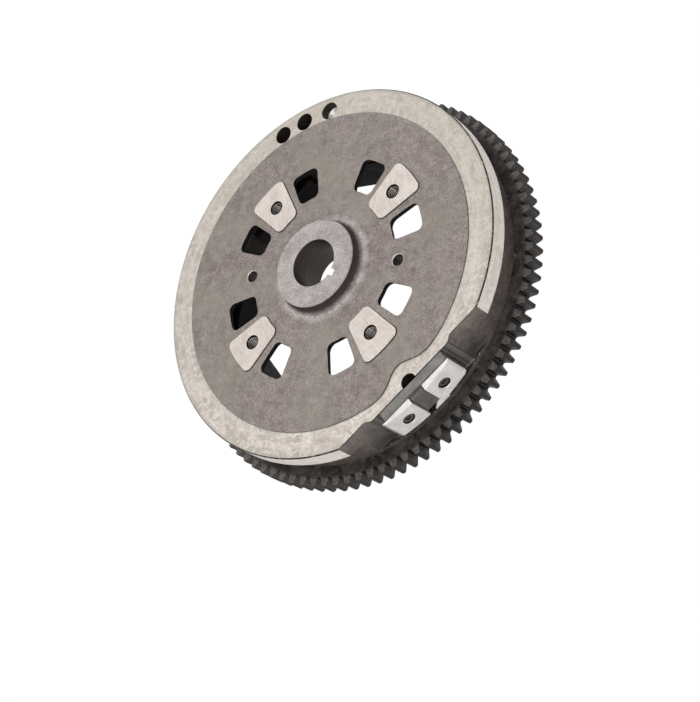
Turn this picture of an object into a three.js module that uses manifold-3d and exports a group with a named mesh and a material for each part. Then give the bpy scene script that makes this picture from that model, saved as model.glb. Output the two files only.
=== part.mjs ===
// A small-engine flywheel: an iron casting with a shrunk-on starter ring gear, alternator magnets
// inside its rim, and an ignition magnet pack in a pocket cut into the rim.
// Millimetres. The wheel lies on the back of its rim, its axis is +Z, and z = 0 is its back plane.
import * as THREE from "three";
import { mergeVertices } from "three/addons/utils/BufferGeometryUtils.js";
import Module from "manifold-3d";

const wasm = await Module();
wasm.setup();

// ---- Driving dimensions ----

const FIT_GAP = 0.3; // clearance between pieces that touch on the real wheel
const CUT_OVERRUN = 2; // how far a cutting solid runs past the face it opens
const MERGE_DISTANCE = 1e-4; // corners closer than this are one corner
const ROUND_SEGMENTS = 96; // facets round a turned surface
const PIN_SEGMENTS = 24; // facets round a drilling or a screw head
const SHANK_SEGMENTS = 16; // facets round a screw's shank and its clearance hole
const ARC_SEGMENTS = 8; // facets along a piece's curved back or front
const CORNER_SEGMENTS = 4; // facets round a rounded corner
const WINDOW_CORNER_SEGMENTS = 3;
const FILLET_STEPS = 2;
const BOSS_FILLET_STEPS = 4;

// Starter ring gear
const TOOTH_COUNT = 93;
const TOOTH_MODULE = 2.54;
const TOOTH_DEDENDUM = 1.25; // tooth depth inside the pitch circle, in modules
const PRESSURE_ANGLE = THREE.MathUtils.degToRad(20);
const FIRST_TOOTH_ANGLE = THREE.MathUtils.degToRad(3.24);
const RING_WIDTH = 10.8;
const RING_WALL = 7.9; // from the tooth roots in to the ring's bore

// Rim, from the ring gear's seat inwards and upwards
const SHOULDER = 1.5; // the step that the ring gear is pressed against
const BODY_HEIGHT = 41.0; // back plane to the turned annulus
const RIM_WALL = 24.5;
const BAND_OVERHANG = 4.7; // how far the turned band stands out over the rim below it
const BAND_HEIGHT = 12.2;
const BAND_CHAMFER = 0.7;
const ANNULUS_WIDTH = 15.4;
const MAGNET_SHOULDER = 6.0; // the ledge inside the rim that the magnets stop against
const RIM_EDGE_CHAMFER = 1.2;

// Face, web and hub
const FACE_RISE = 0.9; // the as-cast face stands this far above the turned annulus
const WEB_THICKNESS = 5.0;
const WEB_FILLET = 6.0;
const BOSS_RADIUS = 26.8;
const BOSS_RISE = 8.6;
const BOSS_FILLET = 8.0;
const BOSS_CHAMFER = 0.5;
const HUB_LENGTH = 26.5;
const HUB_BACK_RADIUS = 26.5;
const HUB_DRAFT = 1.2;
const HUB_FILLET = 4.0;
const BORE_FRONT_RADIUS = 14.1;
const BORE_BACK_RADIUS = 14.5;
const KEYWAY_WIDTH = 4.0;
const KEYWAY_DEPTH = 3.2; // beyond the bore's front edge
const KEYWAY_ANGLE = THREE.MathUtils.degToRad(-26);

// Fan pads with tapped holes
const PAD_COUNT = 4;
const PAD_FIRST_ANGLE = THREE.MathUtils.degToRad(45);
const PAD_ARC = THREE.MathUtils.degToRad(20.5);
const PAD_INNER_RADIUS = 44.0;
const PAD_OUTER_RADIUS = 74.5;
const PAD_CORNER = 4.0;
const PAD_RISE = 0.9;
const PAD_HOLE_CIRCLE = 59.8;
const PAD_HOLE_RADIUS = 3.4;
const PAD_HOLE_CHAMFER = 0.5;
const BACK_BOSS_RISE = 4.5; // round bosses behind the web give the drilled holes their length
const PAD_BOSS_RADIUS = 8.0;

// Air windows
const WINDOW_COUNT = 8;
const WINDOW_FIRST_ANGLE = THREE.MathUtils.degToRad(22.5);
const WINDOW_ARC = THREE.MathUtils.degToRad(15.5);
const WINDOW_LENGTH = 19.7;
const WINDOW_RIM_MARGIN = 9.5;
const WINDOW_CORNER = 3.6;
const WINDOW_DRAFT = 1.14; // how much larger the window is at the back of the web

// Drilled holes
const LOCATING_HOLE_CIRCLE = 52.5;
const LOCATING_HOLE_RADIUS = 3.5;
const LOCATING_BOSS_RADIUS = 6.5;
const BALANCE_HOLE_INSET = 9.2; // from the band's surface to a balance drilling's centre
const BALANCE_HOLE_RADIUS = 5.25;
const BALANCE_DRILLINGS = [
  { angle: THREE.MathUtils.degToRad(98.75), depth: 6.0 },
  { angle: THREE.MathUtils.degToRad(109.0), depth: 12.0 },
  { angle: THREE.MathUtils.degToRad(118.0), depth: 12.0 },
];

// Alternator magnets
const MAGNET_COUNT = 8;
const MAGNET_FIRST_ANGLE = THREE.MathUtils.degToRad(0.9);
const MAGNET_THICKNESS = 12.9;
const MAGNET_HEIGHT = 26.0;
const MAGNET_BACK_INSET = 0.9;
const MAGNET_SPACING = 9.9; // between neighbours' inner corners
const MAGNET_EDGE = 0.8;

// Ignition pocket and the magnet pack in it
const POCKET_ANGLE = THREE.MathUtils.degToRad(-45);
const POCKET_DEPTH = 13.9; // from the band's surface to the as-cast flats
const POCKET_FLOOR_RISE = 3.7; // above the ring gear's front face
const SEAT_RISE = 3.0; // the machined seat stands out from the flats
const SEAT_HALF_WIDTH = 30.0;
const SEAT_SLOPE = 3.5; // width of the ramp from a flat up to the seat
const PLATE_THICKNESS = 5.7;
const PLATE_HALF_WIDTH = 23.8;
const PLATE_FLOOR_GAP = 5.0;
const PACK_MIDDLE = -1.0; // the shoes' middle, along the pocket from its own middle
const SHOE_INNER_OFFSET = 5.0; // from the shoes' middle to a shoe's inner side
const SHOE_WIDTH = 20.5;
const SHOE_TOP_DROP = 0.9;
const SHOE_FLOOR_GAP = 7.1;
const SHOE_BAND_INSET = 0.3; // the shoes are turned just under the band's size
const SHOE_SCREW_WALL = 0.8; // shoe left under a screw's head
const SCREW_OFFSET = 13.8; // from the shoes' middle
const SCREW_HEAD_RADIUS = 3.4;
const SCREW_HEAD_HEIGHT = 1.3;
const SCREW_SHANK_RADIUS = 2.1;
const SCREW_GRIP = 9.0; // shank length in the casting
const SCREW_SOCKET_SIDES = 6;
const SCREW_SOCKET_RADIUS = 1.7;
const SCREW_SOCKET_DEPTH = 0.9;
const PACK_MAGNET_PROUD = 2.6; // the magnet stands out from the back plate
const PACK_MAGNET_TOP_DROP = 1.5;
const PACK_MAGNET_FLOOR_GAP = 8.6;
const TAB_THICKNESS = 1.4;
const TAB_POINT_REACH = 7.0; // from the right shoe's inner side to the tab's point
const TAB_TOP_REACH = 2.3; // from the right shoe's inner side to the end of the tab's top
const TAB_UNDERLAP = 4.0; // how far the tab runs on below the right shoe
const TAB_FLOOR_GAP = 2.6;
const POCKET_HOLE_RADIUS = 4.8;
const POCKET_HOLE_SETBACK = 0.6; // its centre lies this far behind the seat
const POCKET_HOLE_DEPTH = 20.0;
const LOBE_RADIUS = 12.7; // the turned face widens round that hole, in a bell-shaped lobe
const LOBE_SPREAD = 8.6; // half width of the lobe where it stands out six tenths of its full way
const LOBE_REACH = 3; // half width of the whole lobe, in spreads
const LOBE_STEPS = 20;

// ---- Sizes that follow from them ----

const pitchRadius = (TOOTH_COUNT * TOOTH_MODULE) / 2;
const tipRadius = pitchRadius + TOOTH_MODULE;
const rootRadius = pitchRadius - TOOTH_DEDENDUM * TOOTH_MODULE;
const ringBoreRadius = rootRadius - RING_WALL;
const seatRadius = ringBoreRadius - FIT_GAP;
const bodyRadius = seatRadius + SHOULDER + FIT_GAP;
const bandRadius = bodyRadius + BAND_OVERHANG;
const annulusInnerRadius = bandRadius - ANNULUS_WIDTH;
const rimInnerRadius = bodyRadius - RIM_WALL;
const webOuterRadius = rimInnerRadius - MAGNET_SHOULDER;

const shoulderZ = RING_WIDTH + FIT_GAP;
const bandBottomZ = BODY_HEIGHT - BAND_HEIGHT;
const faceZ = BODY_HEIGHT + FACE_RISE;
const padZ = faceZ + PAD_RISE;
const bossZ = faceZ + BOSS_RISE;
const webBackZ = faceZ - WEB_THICKNESS;
const backBossZ = webBackZ - BACK_BOSS_RISE;
const hubBackZ = bossZ - HUB_LENGTH;
const magnetTopZ = MAGNET_BACK_INSET + MAGNET_HEIGHT;
const magnetShoulderZ = magnetTopZ + FIT_GAP;
// The fillet inside the rim stays within the wall that stands above the magnets.
const webFillet = Math.min(WEB_FILLET, webBackZ - magnetShoulderZ - FIT_GAP);
const pocketFloorZ = shoulderZ + POCKET_FLOOR_RISE - FIT_GAP;

// The pocket's stack, out from the wheel's axis along the pocket's middle
const flatX = bandRadius - POCKET_DEPTH;
const seatX = flatX + SEAT_RISE;
const plateInnerX = seatX + FIT_GAP;
const plateOuterX = plateInnerX + PLATE_THICKNESS;
const shoeInnerX = plateOuterX + FIT_GAP;
const shoeRadius = bandRadius - SHOE_BAND_INSET;
const pocketHoleX = seatX - POCKET_HOLE_SETBACK;

const shoeTopZ = BODY_HEIGHT - SHOE_TOP_DROP;
const shoeBottomZ = pocketFloorZ + SHOE_FLOOR_GAP;

const screwNeckX = shoeInnerX + SHOE_SCREW_WALL + FIT_GAP;
const screwHeadX = screwNeckX + SCREW_HEAD_HEIGHT;
const screwEndX = seatX - SCREW_GRIP;
const screwZ = (shoeTopZ + shoeBottomZ) / 2;
const screwY = (side) => PACK_MIDDLE + side * SCREW_OFFSET;
const screwHoleRadius = SCREW_SHANK_RADIUS + FIT_GAP;
const screwSeatRadius = SCREW_HEAD_RADIUS + FIT_GAP;

// ---- Geometry helpers ----

// A closed geometry as a manifold-3d solid, for cutting and joining.
function toSolid(geometry) {
  const bare = geometry.index ? geometry.toNonIndexed() : geometry.clone();
  bare.deleteAttribute("normal");
  bare.deleteAttribute("uv");
  const merged = mergeVertices(bare, MERGE_DISTANCE);
  return new wasm.Manifold(
    new wasm.Mesh({
      numProp: 3,
      vertProperties: merged.attributes.position.array,
      triVerts: new Uint32Array(merged.index.array),
    }),
  );
}

// The same solid back as a three.js geometry.
function toGeometry(solid) {
  const mesh = solid.getMesh();
  const geometry = new THREE.BufferGeometry();
  geometry.setAttribute("position", new THREE.BufferAttribute(mesh.vertProperties, 3));
  geometry.setIndex(new THREE.BufferAttribute(mesh.triVerts, 1));
  geometry.computeVertexNormals();
  return geometry;
}

// A closed outline of [radius, z] points turned round the Z axis.
function turned(outline, segments = ROUND_SEGMENTS) {
  const points = outline.map(([radius, z]) => new THREE.Vector2(radius, z));
  const geometry = new THREE.LatheGeometry([...points, points[0]], segments);
  return geometry.rotateX(Math.PI / 2);
}

// A flat outline raised from one height to another.
function raised(shape, fromZ, toZ, curveSegments = CORNER_SEGMENTS) {
  const options = { depth: toZ - fromZ, bevelEnabled: false, curveSegments };
  return new THREE.ExtrudeGeometry(shape, options).translate(0, 0, fromZ);
}

// A vertical drilling or pin between two heights.
function upright(radius, fromZ, toZ, segments = PIN_SEGMENTS) {
  const geometry = new THREE.CylinderGeometry(radius, radius, toZ - fromZ, segments);
  return geometry.rotateX(Math.PI / 2).translate(0, 0, (fromZ + toZ) / 2);
}

// A drilling or pin that lies along +X from x0 to x1.
function along(radius, x0, x1, segments = PIN_SEGMENTS) {
  const geometry = new THREE.CylinderGeometry(radius, radius, x1 - x0, segments);
  return geometry.rotateZ(-Math.PI / 2).translate((x0 + x1) / 2, 0, 0);
}

// A box given by its lowest and highest corners.
function block(low, high) {
  const size = high.map((value, axis) => value - low[axis]);
  const middle = high.map((value, axis) => (value + low[axis]) / 2);
  return new THREE.BoxGeometry(...size).translate(...middle);
}

// Points on an arc of radius round a centre, both ends included.
function arcPoints(centreX, centreY, radius, fromAngle, toAngle, steps) {
  return Array.from({ length: steps + 1 }, (_, i) => {
    const angle = fromAngle + ((toAngle - fromAngle) * i) / steps;
    return [centreX + radius * Math.cos(angle), centreY + radius * Math.sin(angle)];
  });
}

// A ring sector centred on +X with rounded corners: two arcs joined by two radial sides.
function sector(innerRadius, outerRadius, arc, corner) {
  const shape = new THREE.Shape();
  const half = arc / 2;
  const polar = (radius, angle) => [radius * Math.cos(angle), radius * Math.sin(angle)];
  const outerTurn = corner / outerRadius;
  const innerTurn = corner / innerRadius;
  shape.moveTo(...polar(innerRadius + corner, -half));
  shape.lineTo(...polar(outerRadius - corner, -half));
  shape.quadraticCurveTo(...polar(outerRadius, -half), ...polar(outerRadius, -half + outerTurn));
  shape.absarc(0, 0, outerRadius, -half + outerTurn, half - outerTurn, false);
  shape.quadraticCurveTo(...polar(outerRadius, half), ...polar(outerRadius - corner, half));
  shape.lineTo(...polar(innerRadius + corner, half));
  shape.quadraticCurveTo(...polar(innerRadius, half), ...polar(innerRadius, half - innerTurn));
  shape.absarc(0, 0, innerRadius, half - innerTurn, -half + innerTurn, true);
  shape.quadraticCurveTo(...polar(innerRadius, -half), ...polar(innerRadius + corner, -half));
  return shape;
}

// ---- Flywheel casting ----

// The casting's section, from the bore's back edge round the hub, rim and face to the bore again.
function castingOutline() {
  const hubTopRadius = HUB_BACK_RADIUS + HUB_DRAFT;
  const quarter = Math.PI / 2;
  const hubX = hubTopRadius + HUB_FILLET;
  const hubFillet = arcPoints(hubX, webBackZ - HUB_FILLET, HUB_FILLET, 2 * quarter, quarter, FILLET_STEPS);
  const rimX = webOuterRadius - webFillet;
  const innerRimFillet = arcPoints(rimX, webBackZ - webFillet, webFillet, quarter, 0, FILLET_STEPS);
  const bossX = BOSS_RADIUS + BOSS_FILLET;
  const bossY = faceZ + BOSS_FILLET;
  const bossFillet = arcPoints(bossX, bossY, BOSS_FILLET, 3 * quarter, 2 * quarter, BOSS_FILLET_STEPS);
  return [
    [BORE_BACK_RADIUS, hubBackZ],
    [HUB_BACK_RADIUS, hubBackZ],
    ...hubFillet,
    ...innerRimFillet,
    [webOuterRadius, magnetShoulderZ],
    [rimInnerRadius, magnetShoulderZ],
    [rimInnerRadius, RIM_EDGE_CHAMFER],
    [rimInnerRadius + RIM_EDGE_CHAMFER, 0],
    [seatRadius, 0],
    [seatRadius, shoulderZ],
    [bodyRadius, shoulderZ],
    [bodyRadius, bandBottomZ],
    [bandRadius - BAND_CHAMFER, bandBottomZ],
    [bandRadius, bandBottomZ + BAND_CHAMFER],
    [bandRadius, BODY_HEIGHT - BAND_CHAMFER],
    [bandRadius - BAND_CHAMFER, BODY_HEIGHT],
    [annulusInnerRadius, BODY_HEIGHT],
    [annulusInnerRadius, faceZ],
    ...bossFillet,
    [BOSS_RADIUS, bossZ - BOSS_CHAMFER],
    [BOSS_RADIUS - BOSS_CHAMFER, bossZ],
    [BORE_FRONT_RADIUS, bossZ],
  ];
}

// A window cutter: larger at the back of the web than at the face.
function windowCutter() {
  const outerRadius = webOuterRadius - WINDOW_RIM_MARGIN;
  const innerRadius = outerRadius - WINDOW_LENGTH;
  const middle = (outerRadius + innerRadius) / 2;
  const topZ = faceZ + CUT_OVERRUN;
  const bottomZ = webBackZ - CUT_OVERRUN;
  const shape = sector(innerRadius, outerRadius, WINDOW_ARC, WINDOW_CORNER);
  const geometry = raised(shape, bottomZ, topZ, WINDOW_CORNER_SEGMENTS).translate(-middle, 0, 0);
  const position = geometry.attributes.position;
  for (let i = 0; i < position.count; i += 1) {
    const below = THREE.MathUtils.clamp((faceZ - position.getZ(i)) / WEB_THICKNESS, 0, 1);
    const scale = 1 + (WINDOW_DRAFT - 1) * below;
    position.setXY(i, position.getX(i) * scale, position.getY(i) * scale);
  }
  return geometry.translate(middle, 0, 0);
}

// Where the turned annulus widens round the hole at the seat, as a cut into the raised face.
function lobeCutter() {
  const rise = annulusInnerRadius - (pocketHoleX - LOBE_RADIUS);
  const halfWidth = LOBE_REACH * LOBE_SPREAD;
  const outline = [];
  for (let i = 0; i <= LOBE_STEPS; i += 1) {
    const y = halfWidth * ((2 * i) / LOBE_STEPS - 1);
    const bell = Math.exp(-((y / LOBE_SPREAD) ** 2) / 2);
    const x = Math.sqrt(annulusInnerRadius ** 2 - y ** 2) - rise * bell;
    outline.push(new THREE.Vector2(x, y));
  }
  outline.push(new THREE.Vector2(pocketHoleX, halfWidth));
  outline.push(new THREE.Vector2(pocketHoleX, -halfWidth));
  return raised(new THREE.Shape(outline), BODY_HEIGHT, faceZ + CUT_OVERRUN);
}

// The pocket in the rim: two flats with the machined seat standing out between them.
function pocketCutter() {
  const farX = tipRadius + CUT_OVERRUN;
  const endY = bandRadius;
  const shape = new THREE.Shape();
  shape.moveTo(farX, -endY);
  shape.lineTo(farX, endY);
  shape.lineTo(flatX, endY);
  shape.lineTo(flatX, SEAT_HALF_WIDTH + SEAT_SLOPE);
  shape.lineTo(seatX, SEAT_HALF_WIDTH);
  shape.lineTo(seatX, -SEAT_HALF_WIDTH);
  shape.lineTo(flatX, -SEAT_HALF_WIDTH - SEAT_SLOPE);
  shape.lineTo(flatX, -endY);
  return raised(shape, pocketFloorZ, BODY_HEIGHT + CUT_OVERRUN);
}

function castingGeometry() {
  let solid = toSolid(turned(castingOutline()));
  const join = (geometry) => {
    solid = solid.add(toSolid(geometry));
  };
  const cut = (geometry) => {
    solid = solid.subtract(toSolid(geometry));
  };

  for (let i = 0; i < WINDOW_COUNT; i += 1) {
    const angle = WINDOW_FIRST_ANGLE + (i * 2 * Math.PI) / WINDOW_COUNT;
    cut(windowCutter().rotateZ(angle));
  }

  const webMiddleZ = (webBackZ + faceZ) / 2;
  for (let i = 0; i < PAD_COUNT; i += 1) {
    const angle = PAD_FIRST_ANGLE + (i * 2 * Math.PI) / PAD_COUNT;
    const outline = sector(PAD_INNER_RADIUS, PAD_OUTER_RADIUS, PAD_ARC, PAD_CORNER);
    join(raised(outline, webMiddleZ, padZ).rotateZ(angle));
    const x = PAD_HOLE_CIRCLE * Math.cos(angle);
    const y = PAD_HOLE_CIRCLE * Math.sin(angle);
    join(upright(PAD_BOSS_RADIUS, backBossZ, webMiddleZ).translate(x, y, 0));
    cut(upright(PAD_HOLE_RADIUS, backBossZ - CUT_OVERRUN, padZ + CUT_OVERRUN).translate(x, y, 0));
    const mouthRadius = PAD_HOLE_RADIUS + PAD_HOLE_CHAMFER;
    const mouthSize = [mouthRadius, PAD_HOLE_RADIUS, PAD_HOLE_CHAMFER, PIN_SEGMENTS];
    const mouth = new THREE.CylinderGeometry(...mouthSize);
    mouth.rotateX(Math.PI / 2).translate(x, y, padZ - PAD_HOLE_CHAMFER / 2);
    cut(mouth);
  }

  for (const side of [1, -1]) {
    const x = side * LOCATING_HOLE_CIRCLE;
    join(upright(LOCATING_BOSS_RADIUS, backBossZ, webMiddleZ).translate(x, 0, 0));
    cut(upright(LOCATING_HOLE_RADIUS, backBossZ - CUT_OVERRUN, faceZ + CUT_OVERRUN).translate(x, 0, 0));
  }

  for (const { angle, depth } of BALANCE_DRILLINGS) {
    const radius = bandRadius - BALANCE_HOLE_INSET;
    const hole = upright(BALANCE_HOLE_RADIUS, BODY_HEIGHT - depth, BODY_HEIGHT + CUT_OVERRUN);
    cut(hole.translate(radius * Math.cos(angle), radius * Math.sin(angle), 0));
  }

  const keyway = block(
    [0, -KEYWAY_WIDTH / 2, hubBackZ - CUT_OVERRUN],
    [BORE_FRONT_RADIUS + KEYWAY_DEPTH, KEYWAY_WIDTH / 2, bossZ + CUT_OVERRUN],
  );
  cut(keyway.rotateZ(KEYWAY_ANGLE));

  cut(lobeCutter().rotateZ(POCKET_ANGLE));
  cut(pocketCutter().rotateZ(POCKET_ANGLE));
  const holeBottomZ = BODY_HEIGHT - POCKET_HOLE_DEPTH;
  const seatHole = upright(POCKET_HOLE_RADIUS, holeBottomZ, faceZ + CUT_OVERRUN);
  cut(seatHole.translate(pocketHoleX, 0, 0).rotateZ(POCKET_ANGLE));
  for (const side of [1, -1]) {
    const hole = along(screwHoleRadius, screwEndX - FIT_GAP, seatX + CUT_OVERRUN, SHANK_SEGMENTS);
    cut(hole.translate(0, screwY(side), screwZ).rotateZ(POCKET_ANGLE));
  }
  return toGeometry(solid);
}

// ---- Starter ring gear ----

// One involute tooth's outline as [radius, angle] points, from root to tip and back to root.
function toothPoints(toothAngle) {
  const involute = (radius) => {
    const base = pitchRadius * Math.cos(PRESSURE_ANGLE);
    const roll = Math.sqrt(Math.max((radius / base) ** 2 - 1, 0));
    return roll - Math.atan(roll);
  };
  const halfAtPitch = Math.PI / 2 / TOOTH_COUNT;
  const halfAt = (radius) => halfAtPitch + involute(pitchRadius) - involute(radius);
  const flank = [rootRadius, pitchRadius, tipRadius];
  const rising = flank.map((radius) => [radius, toothAngle - halfAt(radius)]);
  const falling = flank.map((radius) => [radius, toothAngle + halfAt(radius)]).reverse();
  return [...rising, ...falling];
}

function ringGearGeometry() {
  const outline = [];
  for (let i = 0; i < TOOTH_COUNT; i += 1) {
    const toothAngle = FIRST_TOOTH_ANGLE + (i * 2 * Math.PI) / TOOTH_COUNT;
    for (const [radius, angle] of toothPoints(toothAngle)) {
      outline.push(new THREE.Vector2(radius * Math.cos(angle), radius * Math.sin(angle)));
    }
  }
  const toothed = toSolid(raised(new THREE.Shape(outline), 0, RING_WIDTH));
  const bore = upright(ringBoreRadius, -CUT_OVERRUN, RING_WIDTH + CUT_OVERRUN, ROUND_SEGMENTS);
  return toGeometry(toothed.subtract(toSolid(bore)));
}

// ---- Alternator magnets ----

// A block magnet with a flat inner face and a back that follows the rim, centred on +X.
function magnetGeometry() {
  const backRadius = rimInnerRadius - FIT_GAP;
  const faceX = backRadius - MAGNET_THICKNESS;
  const halfWidth = faceX * Math.tan(Math.PI / MAGNET_COUNT) - MAGNET_SPACING / 2;
  const backAngle = Math.asin(halfWidth / backRadius);
  const shape = new THREE.Shape();
  shape.moveTo(faceX, -halfWidth + MAGNET_EDGE);
  shape.lineTo(faceX + MAGNET_EDGE, -halfWidth);
  shape.lineTo(backRadius * Math.cos(backAngle), -halfWidth);
  shape.absarc(0, 0, backRadius, -backAngle, backAngle, false);
  shape.lineTo(faceX + MAGNET_EDGE, halfWidth);
  shape.lineTo(faceX, halfWidth - MAGNET_EDGE);
  return raised(shape, MAGNET_BACK_INSET, magnetTopZ, ARC_SEGMENTS);
}

// ---- Ignition magnet pack, in the pocket's own frame: +X out of the pocket ----

function backPlateGeometry() {
  const bottomZ = pocketFloorZ + PLATE_FLOOR_GAP;
  const low = [plateInnerX, -PLATE_HALF_WIDTH, bottomZ];
  const high = [plateOuterX, PLATE_HALF_WIDTH, BODY_HEIGHT];
  let solid = toSolid(block(low, high));
  for (const side of [1, -1]) {
    const holeEnds = [plateInnerX - CUT_OVERRUN, plateOuterX + CUT_OVERRUN];
    const hole = along(screwHoleRadius, ...holeEnds, SHANK_SEGMENTS);
    solid = solid.subtract(toSolid(hole.translate(0, screwY(side), screwZ)));
  }
  return toGeometry(solid);
}

// A pole shoe: flat against the back plate, turned to the wheel's radius outside.
function poleShoeGeometry(side) {
  const nearY = PACK_MIDDLE + side * SHOE_INNER_OFFSET;
  const farY = nearY + side * SHOE_WIDTH;
  const low = Math.min(nearY, farY);
  const high = Math.max(nearY, farY);
  const shape = new THREE.Shape();
  shape.moveTo(shoeInnerX, low);
  shape.lineTo(Math.sqrt(shoeRadius ** 2 - low ** 2), low);
  shape.absarc(0, 0, shoeRadius, Math.asin(low / shoeRadius), Math.asin(high / shoeRadius), false);
  shape.lineTo(shoeInnerX, high);
  let solid = toSolid(raised(shape, shoeBottomZ, shoeTopZ, ARC_SEGMENTS));
  const shank = along(screwHoleRadius, shoeInnerX - CUT_OVERRUN, shoeRadius, SHANK_SEGMENTS);
  const seat = along(screwSeatRadius, screwNeckX - FIT_GAP, shoeRadius + CUT_OVERRUN);
  for (const tool of [shank, seat]) {
    solid = solid.subtract(toSolid(tool.translate(0, screwY(side), screwZ)));
  }
  return toGeometry(solid);
}

// A socket-head screw, its head at +X.
function screwGeometry() {
  const head = toSolid(along(SCREW_HEAD_RADIUS, screwNeckX, screwHeadX));
  const shankTopX = (screwNeckX + screwHeadX) / 2;
  const shank = toSolid(along(SCREW_SHANK_RADIUS, screwEndX, shankTopX, SHANK_SEGMENTS));
  const socketX = screwHeadX - SCREW_SOCKET_DEPTH;
  const socket = along(SCREW_SOCKET_RADIUS, socketX, screwHeadX + CUT_OVERRUN, SCREW_SOCKET_SIDES);
  return toGeometry(head.add(shank).subtract(toSolid(socket)));
}

function packMagnetGeometry() {
  const halfWidth = SHOE_INNER_OFFSET - FIT_GAP;
  const low = [shoeInnerX, PACK_MIDDLE - halfWidth, pocketFloorZ + PACK_MAGNET_FLOOR_GAP];
  const high = [shoeInnerX + PACK_MAGNET_PROUD, PACK_MIDDLE + halfWidth, BODY_HEIGHT - PACK_MAGNET_TOP_DROP];
  return block(low, high);
}

// A thin three-cornered tab that holds the magnet from below.
function tabGeometry() {
  const topZ = Math.min(shoeBottomZ, pocketFloorZ + PACK_MAGNET_FLOOR_GAP) - FIT_GAP;
  const shape = new THREE.Shape();
  shape.moveTo(SHOE_INNER_OFFSET - TAB_POINT_REACH, pocketFloorZ + TAB_FLOOR_GAP);
  shape.lineTo(SHOE_INNER_OFFSET + TAB_UNDERLAP, pocketFloorZ + TAB_FLOOR_GAP);
  shape.lineTo(SHOE_INNER_OFFSET + TAB_UNDERLAP, topZ);
  shape.lineTo(SHOE_INNER_OFFSET - TAB_TOP_REACH, topZ);
  const geometry = raised(shape, 0, TAB_THICKNESS);
  geometry.applyMatrix4(
    new THREE.Matrix4().makeBasis(
      new THREE.Vector3(0, 1, 0),
      new THREE.Vector3(0, 0, 1),
      new THREE.Vector3(1, 0, 0),
    ),
  );
  return geometry.translate(shoeInnerX, PACK_MIDDLE, 0);
}

// ---- Materials ----

function finish(color, roughness, metalness) {
  return new THREE.MeshStandardMaterial({ color, roughness, metalness });
}

const castIron = finish(0x968e8a, 0.65, 0.7);
const gearSteel = finish(0x32302e, 0.5, 0.8);
const ferrite = finish(0x2b2a2a, 0.8, 0.1);
const plateSteel = finish(0x82827e, 0.45, 0.8);
const packFerrite = finish(0x4b4946, 0.7, 0.2);
const shoeSteel = finish(0xe1dede, 0.3, 0.9);
const screwSteel = finish(0x77716c, 0.4, 0.9);

// ---- Assembly ----

const flywheel = new THREE.Group();

function place(parent, name, geometry, material, turn = 0) {
  const mesh = new THREE.Mesh(geometry, material);
  mesh.name = name;
  mesh.rotation.z = turn;
  parent.add(mesh);
}

place(flywheel, "flywheel_casting", castingGeometry(), castIron);
place(flywheel, "starter_ring_gear", ringGearGeometry(), gearSteel);

for (let i = 0; i < MAGNET_COUNT; i += 1) {
  const turn = MAGNET_FIRST_ANGLE + (i * 2 * Math.PI) / MAGNET_COUNT;
  place(flywheel, `alternator_magnet_${i + 1}`, magnetGeometry(), ferrite, turn);
}

const ignitionPack = new THREE.Group();
ignitionPack.rotation.z = POCKET_ANGLE;
flywheel.add(ignitionPack);
place(ignitionPack, "ignition_back_plate", backPlateGeometry(), plateSteel);
place(ignitionPack, "ignition_magnet", packMagnetGeometry(), packFerrite);
place(ignitionPack, "magnet_retaining_tab", tabGeometry(), shoeSteel);
for (const [label, side] of [["left", -1], ["right", 1]]) {
  place(ignitionPack, `pole_shoe_${label}`, poleShoeGeometry(side), shoeSteel);
  const screw = screwGeometry().translate(0, screwY(side), screwZ);
  place(ignitionPack, `pole_shoe_screw_${label}`, screw, screwSteel);
}

export default flywheel;
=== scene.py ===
"""A small-engine flywheel: detailed meshes, finishes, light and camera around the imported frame.

The wheel lies on the back of its rim with its axis along +Z. Shapes are built in millimetres and
scaled to metres when they become objects. An angle is in degrees until a trig function takes it.
"""

import math

import bmesh
import bpy
from mathutils import Matrix, Vector


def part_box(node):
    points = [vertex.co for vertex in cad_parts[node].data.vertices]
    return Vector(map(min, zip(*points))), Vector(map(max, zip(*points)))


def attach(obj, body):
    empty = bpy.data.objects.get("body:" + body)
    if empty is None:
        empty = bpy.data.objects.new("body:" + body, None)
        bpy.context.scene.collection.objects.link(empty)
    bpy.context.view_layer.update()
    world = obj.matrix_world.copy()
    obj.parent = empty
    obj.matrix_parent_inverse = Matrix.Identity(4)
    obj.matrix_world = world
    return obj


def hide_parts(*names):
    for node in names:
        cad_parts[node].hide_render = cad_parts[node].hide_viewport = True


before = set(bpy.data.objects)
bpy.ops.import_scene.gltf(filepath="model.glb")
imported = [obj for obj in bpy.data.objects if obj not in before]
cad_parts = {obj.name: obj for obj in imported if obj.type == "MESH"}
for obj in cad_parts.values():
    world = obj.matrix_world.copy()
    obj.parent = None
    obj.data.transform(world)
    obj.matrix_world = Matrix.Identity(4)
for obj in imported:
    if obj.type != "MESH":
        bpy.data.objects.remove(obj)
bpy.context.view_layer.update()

MM = 0.001


# ---- Sizes read from the frame, in millimetres ----


def box_mm(node):
    """The lowest and highest corners of a CAD node, in millimetres."""
    low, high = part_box(node)
    return Vector(low) / MM, Vector(high) / MM


CASTING_HIGH = box_mm("flywheel_casting")[1]
MAGNET_LOW, MAGNET_HIGH = box_mm("alternator_magnet_1")
PLATE_LOW, PLATE_HIGH = box_mm("ignition_back_plate")
SHOE_LOW, SHOE_HIGH = box_mm("pole_shoe_left")
PACK_MAGNET_LOW, PACK_MAGNET_HIGH = box_mm("ignition_magnet")
TAB_LOW, TAB_HIGH = box_mm("magnet_retaining_tab")

BAND_RADIUS = CASTING_HIGH.y
BOSS_Z = CASTING_HIGH.z
BODY_Z = PLATE_HIGH.z
RING_Z = box_mm("starter_ring_gear")[1].z

# ---- Sizes of the casting ----

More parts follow.
